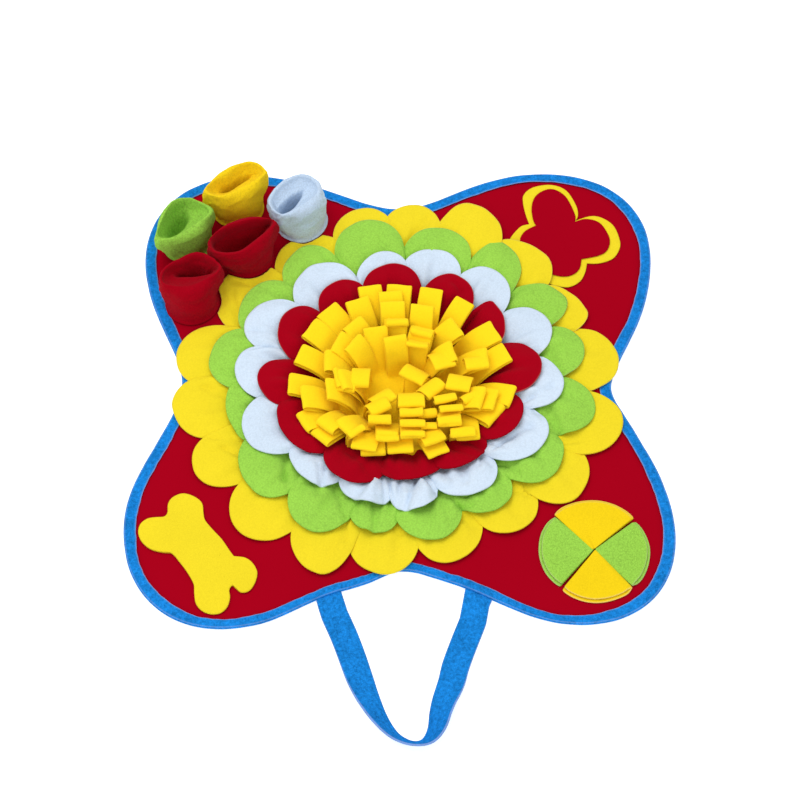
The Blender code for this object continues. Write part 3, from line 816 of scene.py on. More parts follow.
def fleece_group():
    """Brushed pile in small tufts, with lighter flecks and slow changes of tone."""
    settings = {"Tuft Size": 0.0026, "Tufts": 0.5, "Uneven Tone": 0.1}
    group, enter, leave = start_group("Fleece pile", settings)
    vector = enter.outputs["Vector"]
    scale = maths(group, "DIVIDE", 1.0, enter.outputs["Tuft Size"])
    tufts = group.nodes.new("ShaderNodeTexVoronoi")
    tufts.feature = "SMOOTH_F1"
    tufts.inputs["Smoothness"].default_value = 0.6
    group.links.new(vector, tufts.inputs["Vector"])
    group.links.new(scale, tufts.inputs["Scale"])
    fibres = noise_texture(group, vector, maths(group, "MULTIPLY", scale, 2.6), 3.0, 0.65)
    domes = maths(group, "SUBTRACT", 0.9, tufts.outputs["Distance"])
    pile = maths(group, "ADD", maths(group, "MULTIPLY", domes, 0.4), maths(group, "MULTIPLY", fibres, 0.8))
    slow = noise_texture(group, vector, 22.0, 2.0, 0.5)
    grain = swing(group, pile, 0.59, enter.outputs["Tufts"])
    drift = swing(group, slow, 0.5, enter.outputs["Uneven Tone"])
    roughness = maths(group, "SUBTRACT", 1.0, maths(group, "MULTIPLY", pile, 0.12))
    return end_group(group, enter, leave, grain, drift, roughness, pile)


def felt_group():
    """Pressed felt: very fine matted fibres and hardly any change of tone."""
    group, enter, leave = start_group("Pressed felt", {"Uneven Tone": 0.08})
    fibres = noise_texture(group, enter.outputs["Vector"], 1400.0, 4.0, 0.7)
    patches = noise_texture(group, enter.outputs["Vector"], 9.0, 2.0, 0.5)
    grain = swing(group, fibres, 0.5, 0.16)
    drift = swing(group, patches, 0.5, enter.outputs["Uneven Tone"])
    roughness = maths(group, "ADD", 0.84, maths(group, "MULTIPLY", fibres, 0.12))
    return end_group(group, enter, leave, grain, drift, roughness, fibres)


def tape_group():
    """Brushed tape: mottled tufts of darker and lighter threads."""
    group, enter, leave = start_group("Brushed tape", {"Mottle": 0.5})
    coarse = noise_texture(group, enter.outputs["Vector"], 340.0, 3.0, 0.75)
    fine = noise_texture(group, enter.outputs["Vector"], 1300.0, 2.0, 0.6)
    slow = noise_texture(group, enter.outputs["Vector"], 45.0, 2.0, 0.5)
    pile = maths(group, "ADD", maths(group, "MULTIPLY", coarse, 0.65), maths(group, "MULTIPLY", fine, 0.35))
    spots = swing(group, pile, 0.5, enter.outputs["Mottle"])
    drift = swing(group, slow, 0.5, 0.5)
    roughness = maths(group, "SUBTRACT", 0.95, maths(group, "MULTIPLY", pile, 0.2))
    return end_group(group, enter, leave, spots, drift, roughness, pile)


def shared_group(name, build):
    return bpy.data.node_groups.get(name) or build()


def cloth_material(name, colour, highlight_colour, group, settings, bump, bump_depth, sheen):
    """A cloth: the shader stays here, and takes its colour and pile from a shared group; its cut edges are
    painted a paler colour as a highlight.
    """
    made = bpy.data.materials.get(name)
    if made:
        return made
    made = bpy.data.materials.new(name)
    made.use_nodes = True
    tree = made.node_tree
    shader = tree.nodes["Principled BSDF"]
    shader.inputs["Sheen Weight"].default_value = sheen
    shader.inputs["Sheen Roughness"].default_value = 0.5
    shader.inputs["Sheen Tint"].default_value = (*lighter(colour, 0.35, (1, 1, 1)), 1)
    shader.inputs["Specular IOR Level"].default_value = 0.0
    place = tree.nodes.new("ShaderNodeTexCoord")
    pile = tree.nodes.new("ShaderNodeGroup")
    pile.node_tree = group
    tree.links.new(place.outputs["Object"], pile.inputs["Vector"])
    pile.inputs["Colour"].default_value = (*colour, 1)
    for label, value in settings.items():
        pile.inputs[label].default_value = value
    # Painted highlight: the colour turns paler where the edge attribute is high.
    highlight_share = tree.nodes.new("ShaderNodeAttribute")
    highlight_share.attribute_name = EDGE_HIGHLIGHT
    edge = tree.nodes.new("ShaderNodeMix")
    edge.data_type = "RGBA"
    tree.links.new(maths(tree, "POWER", highlight_share.outputs["Fac"], 4.0), edge.inputs[0])
    tree.links.new(pile.outputs["Color"], edge.inputs[6])
    edge.inputs[7].default_value = (*highlight_colour, 1)
    tree.links.new(edge.outputs[2], shader.inputs["Base Color"])
    tree.links.new(pile.outputs["Roughness"], shader.inputs["Roughness"])
    raised = tree.nodes.new("ShaderNodeBump")
    raised.inputs["Strength"].default_value = bump
    raised.inputs["Distance"].default_value = bump_depth * MM
    tree.links.new(pile.outputs["Height"], raised.inputs["Height"])
    tree.links.new(raised.outputs["Normal"], shader.inputs["Normal"])
    return made


def lighter(colour, share, towards=(1.0, 0.80, 0.70)):
    return tuple(c + (t - c) * share for c, t in zip(colour, towards))


# How each fleece looks: its colour, tuft size in millimetres, how strong tufts and slow changes of
# tone are, how strongly its pile is raised, and how pale the painted highlight on its cut edge is.
FLEECES = {
    "yellow": ("yellow", 1.8, 0.22, 0.12, 0.45, 0.20),
    "loops": ("loops", 1.8, 0.20, 0.06, 0.35, 0.0),
    "green": ("green", 1.7, 0.75, 0.14, 0.8, 0.20),
    "pale_blue": ("pale_blue", 1.8, 0.34, 0.12, 0.6, 0.30),
    "red": ("red", 1.8, 0.22, 0.14, 0.3, 0.40),
    "yellow_flap": ("flap_yellow", 1.8, 0.26, 0.10, 0.5, 0.20),
    "green_flap": ("green", 1.6, 0.95, 0.14, 0.9, 0.20),
    "yellow_cup": ("loops", 1.7, 0.65, 0.16, 1.0, 0.0),
    "green_cup": ("green", 1.7, 1.2, 0.16, 1.0, 0.0),
    "pale_blue_cup": ("pale_cup", 1.7, 0.65, 0.14, 1.0, 0.0),
    "red_cup": ("red", 1.6, 0.40, 0.14, 0.7, 0.0),
}


def fleece(look):
    """One colour of fleece, as its petals, loops or cups show it."""
    source, tuft, tufts, uneven, bump, edge = FLEECES[look]
    colour = tuple(getattr(bpy.context.scene.mat_colours, source))
    settings = {"Tuft Size": tuft * MM, "Tufts": tufts, "Uneven Tone": uneven}
    group = shared_group("Fleece pile", fleece_group)
    depth = 1.2 if look.endswith("_cup") else 0.8
    # The last share lightens the edge colour for the painted highlight along cut edges.
    return cloth_material(look + "_pile", colour, lighter(colour, edge), group, settings, bump, depth, 0.08)


def felt():
    colour = tuple(bpy.context.scene.mat_colours.burgundy)
    group = shared_group("Pressed felt", felt_group)
    return cloth_material("pressed_felt", colour, colour, group, {"Uneven Tone": 0.10}, 0.25, 0.25, 0.0)


def tape():
    """The tape's own material, whose edges are painted a little paler as a highlight."""
    colour = tuple(bpy.context.scene.mat_colours.blue)
    group = shared_group("Brushed tape", tape_group)
    # The colour of the painted highlight on the tape's edges.
    pale = lighter(colour, 0.45, (0.75, 0.70, 0.95))
    return cloth_material("brushed_tape", colour, pale, group, {"Mottle": 2.8}, 0.7, 0.6, 0.02)


# The operators, one for each piece or group of like pieces


class BuildFelt(bpy.types.Operator):
    """Make the four-lobed felt"""

    bl_idname = "mat.build_felt"
    bl_label = "Felt"

    def execute(self, context):
        sizes = context.scene.mat_sizes
        ripple = sizes.felt_ripple / MM
        shoulder = TAPE_WIDTH + 1 + GAP
        # inset and height of each corner round the rim that the tape covers
        corners = (
            (shoulder, RIM_BOTTOM),
            (RIM_INSET, RIM_BOTTOM),
            (RIM_INSET, RIM_TOP),
            (shoulder - 1, RIM_TOP),
        )
        turns = len(corners) + 1
        rows = 2 * FELT_RINGS + turns
        bm = bmesh.new()

        def profile(v):
            """Share of the way out, inset from the edge there, height."""
            step = round(v * rows)
            if step <= FELT_RINGS:
                return step / FELT_RINGS, shoulder, 0.0
            if step >= FELT_RINGS + turns:
                return (rows - step) / FELT_RINGS, shoulder, BASE_TOP
            inset, height = corners[step - FELT_RINGS - 1]
            return 1.0, inset, height

        def place(u, v):
            bearing = 360 * u
            out, inset, height = profile(v)
            if inset > RIM_INSET:
                inset -= tape_narrowing(bearing)
            spot = edge_point(bearing, inset)
            spot = Vector((spot.x * out, spot.y * out, height))
            if height == BASE_TOP:
                calm = ease((1 - out) * 8)
                spot.z += ripple * swell(spot, FELT_RIPPLE_SIZE, 3.1) * calm
            return spot

        warped_grid(bm, FELT_COLUMNS, rows, place)
        piece = finish_piece("felt", bm, felt(), "burgundy_felt", ("base_cloth",))
        return {"FINISHED"}


class BuildBinding(bpy.types.Operator):
    """Make the tape that is folded over the felt's edge"""

    bl_idname = "mat.build_binding"
    bl_label = "Binding"

    def execute(self, context):
        bm = bmesh.new()
        over = RIM_TOP + GAP
        under = RIM_BOTTOM - GAP
        # inset as a share of the tape's width plus millimetres, height
        profile = (
            (1, 0, 0.02), (0.55, 0, 0.0), (0, 1.2, 0.0), (0, 0.25, 0.35), (0, 0, 1.2), (0, 0, 2.4),
            (0, 0.3, 3.2), (0, 1.1, 3.75), (0.25, 0, 4.05), (0.5, 0, 4.2), (0.75, 0, 4.2),
            (0.93, 0, 4.15), (1, 0, 3.95), (1, 0, 3.4), (0.97, 0, BASE_TOP + GAP),
            (0.5, 0, over + 0.4), (0, RIM_INSET - GAP, over), (0, RIM_INSET - GAP, under), (1, 0, under),
            (1, 0, 0.02),
        )
        path = closed_points(profile)

        def place(u, v):
            bearing = 360 * u
            turn = radians(bearing)
            share, inset, height = path(v)
            wave = sum(size * sin(n * turn + phase) for n, size, phase in TAPE_WAVES)
            here = at_bearing(bearing, TAPE_UNEVEN_REACH)
            wave += TAPE_UNEVEN * swell(here, TAPE_UNEVEN_SIZE, 9.0)
            inset += share * (TAPE_WIDTH - tape_narrowing(bearing) + wave)
            top = ease((height - 3.3) / 0.6)
            height += top * TAPE_PUCKER * swell(here + Vector((0, 0, inset)), 6.0, 4.0)
            edge = (1 - share) * 0.35 * swell(here, 16, 2.0)
            return edge_point(bearing, max(inset - edge, 0), height)

        # Painted highlight on the rounded points of the tape's fold.
        def highlighted(u, v):
            return TAPE_EDGE_HIGHLIGHTS.get(round(v * (len(profile) - 1)), 0.0)

        warped_grid(bm, TAPE_COLUMNS, len(profile) - 1, place, (1900, 24), highlighted)
        piece = finish_piece("binding", bm, tape(), "blue_tape", ("edge_binding",))
        return {"FINISHED"}


def strap_edges():
    """Inner and outer edge of the strap's middle surface, from its left end to its right end."""
    half = STRAP_THICK / 2 + 0.1
    count = (len(STRAP_STATIONS) - 1) * STRAP_SMOOTH
    stations = [smooth_through(STRAP_STATIONS, i / count) for i in range(count + 1)]
    inner = [Vector((x, y, half)) for x, y, _ in stations]
    start = edge_point(STRAP_LEFT_BEARINGS[0], STRAP_TUCK, half)
    end = edge_point(STRAP_RIGHT_BEARINGS[0], STRAP_TUCK, half)
    inner = [start, start.lerp(inner[0], 0.5), *inner, inner[-1].lerp(end, 0.5), end]
    leans = [0, 0, *(lean for _, _, lean in stations), 0, 0]
    outer = []
    for i in range(1, len(inner) - 1):
        along = inner[i + 1] - inner[i - 1]
        outward = Vector((along.y, -along.x, 0)).normalized()
        rise = radians(leans[i])
        across = outward * cos(rise) + Vector((0, 0, sin(rise)))
        outer.append(inner[i] + across * STRAP_WIDTH)
    outer.insert(0, edge_point(STRAP_LEFT_BEARINGS[1], STRAP_TUCK, half))
    outer.append(edge_point(STRAP_RIGHT_BEARINGS[1], STRAP_TUCK, half))
    return inner, outer


class BuildStrap(bpy.types.Operator):
    """Make the carrying strap"""

    bl_idname = "mat.build_strap"
    bl_label = "Strap"

    def execute(self, context):
        inner, outer = strap_edges()
        last = len(inner) - 1
        bm = bmesh.new()

        def place(u, v):
            at = v * last
            k = min(int(at), last - 1)
            near = inner[k].lerp(inner[k + 1], at - k)
            far = outer[k].lerp(outer[k + 1], at - k)
            spot = near.lerp(far, u)
            side = (far - near).cross(inner[k + 1] - inner[k]).normalized()
            cup = 0.5 * (1 - (2 * u - 1) ** 2)
            free = sin(pi * v)
            return spot - side * (cup * free + 0.3 * free * swell(spot, 14, 6.0))

        # The strap's long edges get the painted highlight.
        warped_grid(bm, STRAP_ACROSS, 2 * last, place, (STRAP_WIDTH, 330), side_highlights)
        piece = finish_piece("strap", bm, tape(), "blue_tape", ("handle_strap",), STRAP_THICK * MM)
        return {"FINISHED"}


def cup_limit(bearing, reach):
    """The reach at which a petal stops short of the cups' feet."""
    for foot, _ in CUPS.values():
        middle = Vector((foot[0], foot[1], 0))
        while (at_bearing(bearing, reach) - middle).length < CUP_CLEAR:
            reach -= CUP_CLEAR_STEP
    return reach


def over_clover(bearing):
    """1 over the clover's near lobe, 0 away from it."""
    start, end = CLOVER_LIFT_BEARINGS
    part = ((bearing - start + 180) % 360 - 180) / (end - start)
    return sin(pi * part) if 0 < part < 1 else 0.0


def crease_height(creases, spot):
    """How far the row's creases lift, or lower, the cloth at a spot."""
    height = 0.0
    for x1, y1, x2, y2, high, half_from, half_to in creases:
        start, along = Vector((x1, y1)), Vector((x2 - x1, y2 - y1))
        part = (spot.xy - start).dot(along) / along.length_squared
        if -0.15 < part < 1.25:
            half = half_from + (half_to - half_from) * min(1, max(0, part))
            off = (spot.xy - start - along * part).length / half
            ends = ease((part + 0.15) / 0.3) * ease((1.25 - part) / 0.25)
            height += high * ends * (exp(-off * off) if half < CREASE_WIDE else ease(1.25 - off))
    return height


class BuildPetals(bpy.types.Operator):
    """Make the four rows of petals"""

    bl_idname = "mat.build_petals"
    bl_label = "Petals"

    def execute(self, context):
        for row in PETAL_ROWS:
            self.add_row(context.scene.mat_sizes, *row)
        return {"FINISHED"}

    def add_row(
        self, sizes, name, colour, petals, root, usual_tip, tip_height, hump, droop, creases, by_games
    ):
        wave = sizes.petal_wave / MM
        start = BASE_TOP + GAP + PETAL_LIFT

        def add_petal(bm, index):
            tip, tip_reach, after, after_reach = petals[index]
            before, before_reach = petals[index - 1][2], petals[index - 1][3]
            sides = {-1: ((tip - before) % 360, before_reach), 1: ((after - tip) % 360, after_reach)}
            back_from, back_to = PETAL_TILE_BACK
            tile = -PETAL_TILE if by_games and back_from < tip < back_to else PETAL_TILE

            def edge(s):
                half, notch = sides[1 if s > 0 else -1]
                full = half + PETAL_OVERLAP
                share = sqrt(1 - (half / full) ** 2)
                low = max((notch - tip_reach * share) / (1 - share), root + PETAL_LEAST)
                bearing = tip + s * full
                reach = low + (tip_reach - low) * sqrt(max(0, 1 - s * s))
                return bearing, reach

            def place(u, v):
                s = sin((u - 0.5) * pi)
                bearing, reach = edge(s)
                if by_games:
                    reach = cup_limit(bearing, reach)
                else:
                    reach -= 0.8 * droop * ease(0.2 - cos(radians(bearing)))
                reach += PETAL_RAGGED * swell(at_bearing(bearing, reach), 17, tip_reach + 0.5)
                inner = root - PETAL_ROOT_IN
                here = inner + (reach - inner) * v
                out = (here - root) / (usual_tip - root)
                height = start + (tip_height - BASE_TOP - GAP) * out + hump * 4 * out * (1 - out)
                if out > 0:
                    height += PETAL_CROWN * (0.5 - s * s) * out * out
                height += tile * s
                spot = at_bearing(bearing, here, 0)
                height += wave * swell(spot, PETAL_WAVE_SIZE, tip_reach + index)
                height += PETAL_FLUTTER * v**4 * swell(spot, PETAL_FLUTTER_SIZE, tip_reach)
                gathers = sum(size * sin(waves * s + shift * tip) for waves, shift, size in PETAL_GATHERS)
                pleat = PETAL_PLEAT * PETAL_PLEAT_SHARES[by_games]
                height += pleat * ease((0.98 - v) / 0.45) * gathers
                height -= droop * ease((v - 0.5) * 2) ** 1.5
                if by_games:
                    height += CLOVER_LIFT * over_clover(bearing) * min(1, max(0, out) / CLOVER_LIFT_FULL_AT)
                height += crease_height(creases, spot)
                spot.z = max(height, BASE_TOP + GAP + PETAL_LIFT)
                return spot

            # Painted highlight along the round edge, strongest where the petal's tip points to the far
            # side, towards the key lamp.
            def highlighted(u, v):
                return 0.2 + 0.8 * ease(cos(radians(tip)) + 0.6) if v == 1 else 0.0

            warped_grid(bm, PETAL_COLUMNS, PETAL_ROWS_LONG, place, (60, usual_tip - root), highlighted)

        bm = bmesh.new()
        for index in range(len(petals)):
            add_petal(bm, index)
        piece = finish_piece(
            name + "_row", bm, fleece(colour), colour + "_fleece", (name,), sizes.petal_cloth
        )


class BuildLoops(bpy.types.Operator):
    """Make the bush of fleece loops"""

    bl_idname = "mat.build_loops"
    bl_label = "Bush of loops"

    def execute(self, context):
        for name, loops, leg in LOOP_RINGS:
            self.add_ring(context.scene.mat_sizes, name, loops, leg)
        return {"FINISHED"}

    def add_ring(self, sizes, name, loops, leg):
        bm = bmesh.new()
        for index, loop in enumerate(loops):
            self.add_loop(bm, sizes, index, loop, leg)
        if name == LOOP_RINGS[-1][0]:
            warped_grid(bm, 48, 6, self.header_place, (150, 34))
        piece = finish_piece(
            name + "_strips", bm, fleece("loops"), "yellow_fleece", (name,), sizes.loop_cloth, 1
        )

    def header_place(self, u, v):
        """The uncut edge that the innermost strip's loops hang from, sewn down inside them."""
        reach = HEADER_IN + (HEADER_OUT - HEADER_IN) * v
        spot = at_bearing(HEADER_TURN * u, reach) + Vector((*HEADER_MIDDLE, 0))
        spot.z = BASE_TOP + 1.2 + max(2.4 * u + 1.5 * swell(spot, 8, 4), 0)
        return spot

    def add_loop(self, bm, sizes, index, loop, leg):
        """One strip: a foot, up from the seam, round its fold, back down and the other foot."""
        x, y, height, heading, width, flat = (*loop, 0)[:6]
        rise = height - LOOP_ROOT_HEIGHT
        run = sqrt(max((LOOP_REACH * leg) ** 2 - rise**2, LOOP_LEAST_RUN**2))
        out = at_bearing(heading, 1)
        side = Vector((out.y, -out.x, 0))
        spread_end = sizes.loop_spread / MM * (1 + LOOP_UNEVEN * sin(3.7 * index + x))
        roll = radians(LOOP_ROLL * sin(2.3 * index + y))
        start = Vector((-run, LOOP_ROOT_HEIGHT))
        end = Vector((-spread_end, height - spread_end * 0.5))
        bend = start + Vector((LOOP_BEND_OUT * run, LOOP_BEND_UP * rise))
        if flat:
            start.x = -flat - 3
            bend = Vector((-1.2 * flat - 2, height + 1))
        foot = LOOP_FOOT_STEPS
        steps = 2 * (LOOP_LEG_STEPS + foot) + LOOP_FOLD_STEPS
        low = LOOP_ROOT_HEIGHT - 0.9 + 0.5 * sin(1.7 * index + heading)

        def middle(t):
            spot = start * (1 - t) ** 2 + bend * 2 * t * (1 - t) + end * t * t
            along = ((bend - start) * (1 - t) + (end - bend) * t).normalized()
            return spot, along

        def path(step):
            """Out and up along the loop, from one foot's end to the other's."""
            back = step > steps / 2
            near = steps - step if back else step
            if near < foot:
                over = LOOP_ROOT_SPREAD + 2 + LOOP_FOOT * (1 - near / foot)
                return Vector((start.x + (-over if back else over), low + (0.5 if near else 0.0)))
            near -= foot
            turn = max(0, near - LOOP_LEG_STEPS) * pi / LOOP_FOLD_STEPS
            if back:
                turn = pi - turn
            t = min(near, LOOP_LEG_STEPS) / LOOP_LEG_STEPS
            spot, along = middle(t)
            square = Vector((-along.y, along.x))
            spread = LOOP_ROOT_SPREAD + (spread_end - LOOP_ROOT_SPREAD) * min(1, t / LOOP_OPEN_AT)
            return spot - square * spread * cos(turn) + along * spread * sin(turn)

        def step_near(v):
            return min(round(v * steps), steps - round(v * steps))

        def place(u, v):
            spot = path(round(v * steps))
            over = (u - 0.5) * width * (1 + 0.03 * sin(5 * v + index))
            if step_near(v) < foot:
                over *= 1.25
            lift = max(0.0, (spot.y - LOOP_ROOT_HEIGHT) / rise)
            flat = Vector((x, y, 0)) + out * spot.x + side * over * cos(roll)
            flat.z = max(spot.y + sin(roll) * over * lift, low)
            crumple = LOOP_CRUMPLE * lift
            flat += out * crumple * swell(flat, 12, index + 0.5)
            return flat + Vector((0, 0, 0.7 * crumple * swell(flat, 15, index)))

        warped_grid(bm, LOOP_ACROSS, steps, place, (width, 2 * leg), side_highlights)


class BuildCups(bpy.types.Operator):
    """Make the five fleece cups"""

    bl_idname = "mat.build_cups"
    bl_label = "Cups"

    def execute(self, context):
        for index, (name, (foot, rim)) in enumerate(CUPS.items()):
            self.add_cup(index, name, foot, rim)
        return {"FINISHED"}

    def add_cup(self, index, name, foot, rim):
        """A soft tube: foot, wall, rolled rim, the slope inside and the hem turned in below."""
        x, y, foot_reach, height, depth, floor_x, floor_y, closed, colour = foot
        ridges = [(rx, ry) for rx, ry, _, _ in rim]
        holes = [(hx, hy) for _, _, hx, hy in rim]
        throat = sum((Vector(hole) for hole in holes), Vector((0, 0))) / len(holes)
        low = BASE_TOP + GAP
        middle = Vector((x, y))
        floor = Vector((floor_x, floor_y))

        def place(u, v):
            ridge = smooth_through(ridges, u, True)
            hole = smooth_through(holes, u, True)
            outward = (ridge - middle).normalized()
            foot_at = middle + outward * foot_reach
            ridge_reach = (ridge - middle).length
            bulge = middle + outward * max(ridge_reach + 2.5, (foot_reach + ridge_reach) / 2 + 3)
            top = height + 1.4 * swell(Vector((ridge.x, ridge.y, 0)), 20, index)
            rise = top - low
            waist = low + 0.6 * rise
            shoulder = []
            for turned in CUP_ROLL:
                part = sin(radians(turned))
                up = cos(radians(turned)) ** 0.75
                shoulder.append((ridge.lerp(bulge, part), waist + (top - waist) * up))
            inward = hole - ridge
            wide = inward.length
            inward.normalize()
            brink = ridge + inward * min(CUP_LIP, 0.7 * wide)
            stations = (
                (foot_at, low),
                (foot_at + outward * 1.3, low + 2),
                (foot_at - outward * 0.6, low + 5),
                (foot_at.lerp(bulge, 0.45), low + 0.32 * rise),
                (bulge, waist),
                *shoulder,
                (ridge, top),
                (ridge + inward * min(2.2, 0.35 * wide), top - 0.8),
                (brink, top - CUP_LIP_DROP),
                (brink.lerp(hole, 0.5), top - CUP_LIP_DROP - 0.6 * (depth - CUP_LIP_DROP)),
                (hole, top - depth),
                (hole.lerp(throat, 0.2), top - depth - 8),
                (hole.lerp(floor, 0.45), low + 8),
                (hole.lerp(floor, 0.8 * closed), low + 2.5),
                (hole.lerp(floor, closed), low + 1.2),
            )
            places = [Vector((spot.x, spot.y, h)) for spot, h in stations]
            spot = smooth_through(places, v)
            across = Vector((outward.x, outward.y, 0))
            about = Vector((cos(tau * u), sin(tau * u), 0))
            dents = swell(about * 14 + Vector((0, 0, 0.5 * spot.z)), 8, index * 5)
            rucks = swell(about * 20 + Vector((0, 0, 0.9 * spot.z)), 4.5, index * 3)
            free = sin(pi * min(1, v / 0.55)) if v < 0.55 else 0.5 * sin(pi * (v - 0.55) / 0.45)
            spot += across * free * (CUP_DENT * dents + CUP_RUCK * rucks)
            spot.z = max(spot.z, low)
            return spot

        bm = bmesh.new()
        warped_grid(bm, CUP_COLUMNS, CUP_ROWS, place, (170, 100))
        bmesh.ops.remove_doubles(bm, verts=bm.verts, dist=WELD)
        rims = [edge for edge in bm.edges if edge.is_boundary]
        bmesh.ops.bridge_loops(bm, edges=rims)
        piece = finish_piece(name + "_fleece", bm, fleece(colour + "_cup"), colour + "_fleece", (name,))


def lobed_outline(lobes, steps=40):
    """Points round an outline whose lobes are smooth and meet at notches."""
    points = []
    for lobe in lobes:
        points += [smooth_through(lobe, i / (steps - 1)) for i in range(steps)]
    return points


def cut_piece(bm, outline, middle, low, thick, rings, relief):
    """A flat cut piece: underside, rounded edge and a top of several rings."""
    centre = Vector(middle)
    # share of the way out and of the way up
    profile = [(i / 4, 0.0) for i in range(4)]
    profile += [(0.985, 0.0), (1.0, 0.35), (1.0, 0.65), (0.985, 0.95)]
    profile += [(1 - (i + 1) / rings, 1.0) for i in range(rings)]
    path = closed_points(profile)
    count = len(outline)

    def place(u, v):
        rim = Vector(outline[int(round(u * count)) % count])
        out, up = path(v)
        spot = centre + (rim - centre) * out
        height = low + thick * up
        if up > 0.5:
            height += relief(spot)
        return Vector((spot.x, spot.y, height))

    warped_grid(bm, count, len(profile) - 1, place)


class BuildClover(bpy.types.Operator):
    """Make the clover's two cut pieces"""

    bl_idname = "mat.build_clover"
    bl_label = "Clover"

    def execute(self, context):
        upper = BASE_TOP + APPLIQUE_THICK + 2 * GAP
        # name, outline, underside, materials, slot, node, flat width, length and area
        pieces = (
            (
                "clover_yellow", CLOVER_OUTER, BASE_TOP + GAP, fleece("yellow"),
                "yellow_fleece", "clover_outer", (0.112, 0.126), 0.0087,
            ),
            (
                "clover_felt", CLOVER_INNER, upper, felt(),
                "burgundy_felt", "clover_inner", (0.090, 0.108), 0.0058,
            ),
        )
        for name, lobes, low, materials, slot, node, flat, area in pieces:
            bm = bmesh.new()

            def relief(spot):
                return 0.25 * swell(Vector((spot.x, spot.y, 0)), 17, 1.0)

            cut_piece(bm, lobed_outline(lobes), CLOVER_MIDDLE, low, APPLIQUE_THICK, 12, relief)
            piece = finish_piece(name, bm, materials, slot, (node,))
        return {"FINISHED"}


class BuildBone(bpy.types.Operator):
    """Make the soft bone"""

    bl_idname = "mat.build_bone"
    bl_label = "Bone"

    def execute(self, context):
        bm = bmesh.new()
        thick = context.scene.mat_sizes.bone_thickness / MM

        def relief(spot):
            return 0.45 * swell(Vector((spot.x, spot.y, 0)), 20, 7.0)

        outline = [smooth_through(BONE_OUTLINE, i / 200, True) for i in range(200)]
        cut_piece(bm, outline, BONE_MIDDLE, BASE_TOP + GAP, thick, 16, relief)
        piece = finish_piece("bone_cloth", bm, fleece("yellow"), "yellow_fleece", ("bone",), levels=1)
        return {"FINISHED"}


class BuildBall(bpy.types.Operator):
    """Make the ball's four folded flaps"""

    bl_idname = "mat.build_ball"
    bl_label = "Ball"

    def execute(self, context):
        for flap in BALL_FLAPS:
            self.add_flap(context.scene.mat_sizes, *flap)
        return {"FINISHED"}

    def add_flap(self, sizes, name, colour, fold, free, reach, by_fold, by_free, raised):
        """A half circle of cloth, folded once along its middle."""
        sweep = (free - fold + 180) % 360 - 180
        inward = 1 if sweep > 0 else -1
        from_fold = at_bearing(fold + 90 * inward, 1)
        from_free = at_bearing(free - 90 * inward, 1)
        corner = Vector((*BALL_MIDDLE, 0))

        def place(u, v):
            side = 2 * u - 1
            side = abs(side) ** 1.3 * (1 if side > 0 else -1)
            over = ease(0.5 + side / (2 * FLAP_FOLD))
            round_reach = reach - FLAP_STEP_IN * over
            round_reach *= 1 - 0.03 * abs(side) ** 14 - 0.02 * max(0.0, 1 - abs(side) * 9)
            round_reach += 0.5 * swell(at_bearing(fold + sweep * abs(side), 30), 11, reach)
            angle = fold + sweep * abs(side)
            spot = corner + at_bearing(angle, FLAP_CORNER + (round_reach - FLAP_CORNER) * v)
            nose = 0.9 * max(0.0, 1 - abs(side) / FLAP_FOLD)
            spot += from_fold * (by_fold - nose) * (1 - abs(side)) + from_free * by_free * abs(side)
            height = FLAP_LOW + (FLAP_HIGH - FLAP_LOW) * over
            height += over * (0.6 * swell(spot, 15, reach) + 0.5 * sin(pi * min(1, v)))
            height += raised * max(0.0, 1 - abs(side) / 0.3)
            spot.z = max(height, FLAP_LOW)
            return spot

        bm = bmesh.new()
        # The flap's round edge gets the painted highlight.
        warped_grid(bm, 48, 18, place, (160, reach), end_highlights)
        piece = finish_piece(
            name + "_cloth", bm, fleece(colour + "_flap"), colour + "_fleece", (name,), sizes.flap_cloth, 1
        )


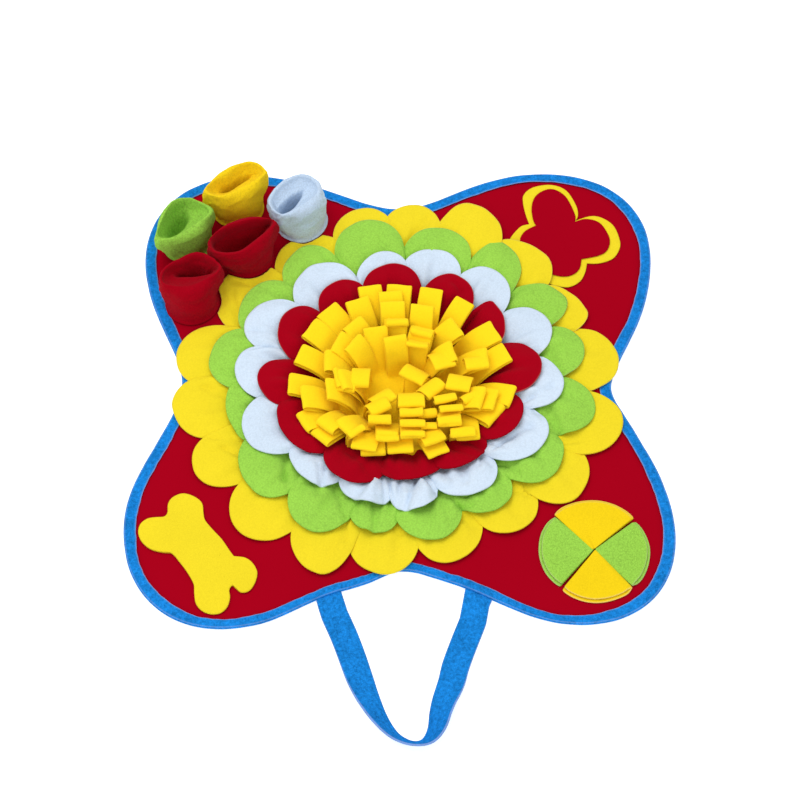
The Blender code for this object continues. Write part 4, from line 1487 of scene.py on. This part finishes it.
class BuildStage(bpy.types.Operator):
    """Make the floor, the light and the camera"""

    bl_idname = "mat.build_stage"
    bl_label = "Stage"

    def execute(self, context):
        scene = context.scene
        scene.view_settings.view_transform = "Standard"
        bm = bmesh.new()
        half = scene.mat_sizes.floor_size
        bmesh.ops.create_grid(bm, x_segments=1, y_segments=1, size=half)
        mesh = bpy.data.meshes.new("floor")
        bm.to_mesh(mesh)
        bm.free()
        paper = bpy.data.materials.new("pale_paper")
        paper.use_nodes = True
        shader = paper.node_tree.nodes["Principled BSDF"]
        shader.inputs["Base Color"].default_value = (0.93, 0.93, 0.93, 1)
        shader.inputs["Roughness"].default_value = 1.0
        shader.inputs["Specular IOR Level"].default_value = 0.0
        shader.inputs["Emission Color"].default_value = (1, 1, 1, 1)
        shader.inputs["Emission Strength"].default_value = 0.5
        mesh.materials.append(paper)
        mesh.transform(Matrix.Translation((0, 0, -FLOOR_DROP)))
        linked("floor", mesh)

        world = bpy.data.worlds.new("studio")
        world.use_nodes = True
        sky = world.node_tree.nodes["Background"]
        sky.inputs["Color"].default_value = (1, 1, 1, 1)
        sky.inputs["Strength"].default_value = SKY_STRENGTH
        scene.world = world

        for name, place, width, depth, energy in SOFT_BOXES:
            lamp = bpy.data.lights.new(name, "AREA")
            lamp.shape = "RECTANGLE"
            lamp.size = width
            lamp.size_y = depth
            lamp.energy = energy
            box = linked(name, lamp)
            box.location = place
            box.rotation_euler = (-box.location).to_track_quat("-Z", "Y").to_euler()

        view = bpy.data.cameras.new("camera")
        view.lens = CAMERA_LENS
        view.sensor_width = SENSOR
        view.clip_end = 20
        camera = linked("camera", view)
        camera.location = CAMERA_PLACE
        camera.rotation_euler = (radians(90 - CAMERA_DOWN), 0, 0)
        scene.camera = camera
        return {"FINISHED"}


class MatPanel(bpy.types.Panel):
    """Lists the operators that make the mat"""

    bl_idname = "VIEW3D_PT_snuffle_mat"
    bl_label = "Snuffle mat"
    bl_space_type = "VIEW_3D"
    bl_region_type = "UI"
    bl_category = "Snuffle mat"

    def draw(self, context):
        for group in (context.scene.mat_sizes, context.scene.mat_colours):
            for name in group.bl_rna.properties.keys():
                if name not in ("rna_type", "name"):
                    self.layout.prop(group, name)
        for operator in OPERATORS:
            self.layout.operator(operator.bl_idname)


OPERATORS = (
    BuildFelt,
    BuildBinding,
    BuildStrap,
    BuildPetals,
    BuildLoops,
    BuildCups,
    BuildClover,
    BuildBone,
    BuildBall,
    BuildStage,
)
CLASSES = (MatSizes, MatColours, *OPERATORS, MatPanel)


def register():
    for one in CLASSES:
        bpy.utils.register_class(one)
    bpy.types.Scene.mat_sizes = bpy.props.PointerProperty(type=MatSizes)
    bpy.types.Scene.mat_colours = bpy.props.PointerProperty(type=MatColours)


def unregister():
    del bpy.types.Scene.mat_colours
    del bpy.types.Scene.mat_sizes
    for one in reversed(CLASSES):
        bpy.utils.unregister_class(one)


def main():
    register()
    for operator in OPERATORS:
        area, name = operator.bl_idname.split(".")
        getattr(getattr(bpy.ops, area), name)()


if __name__ == "__main__":
    main()
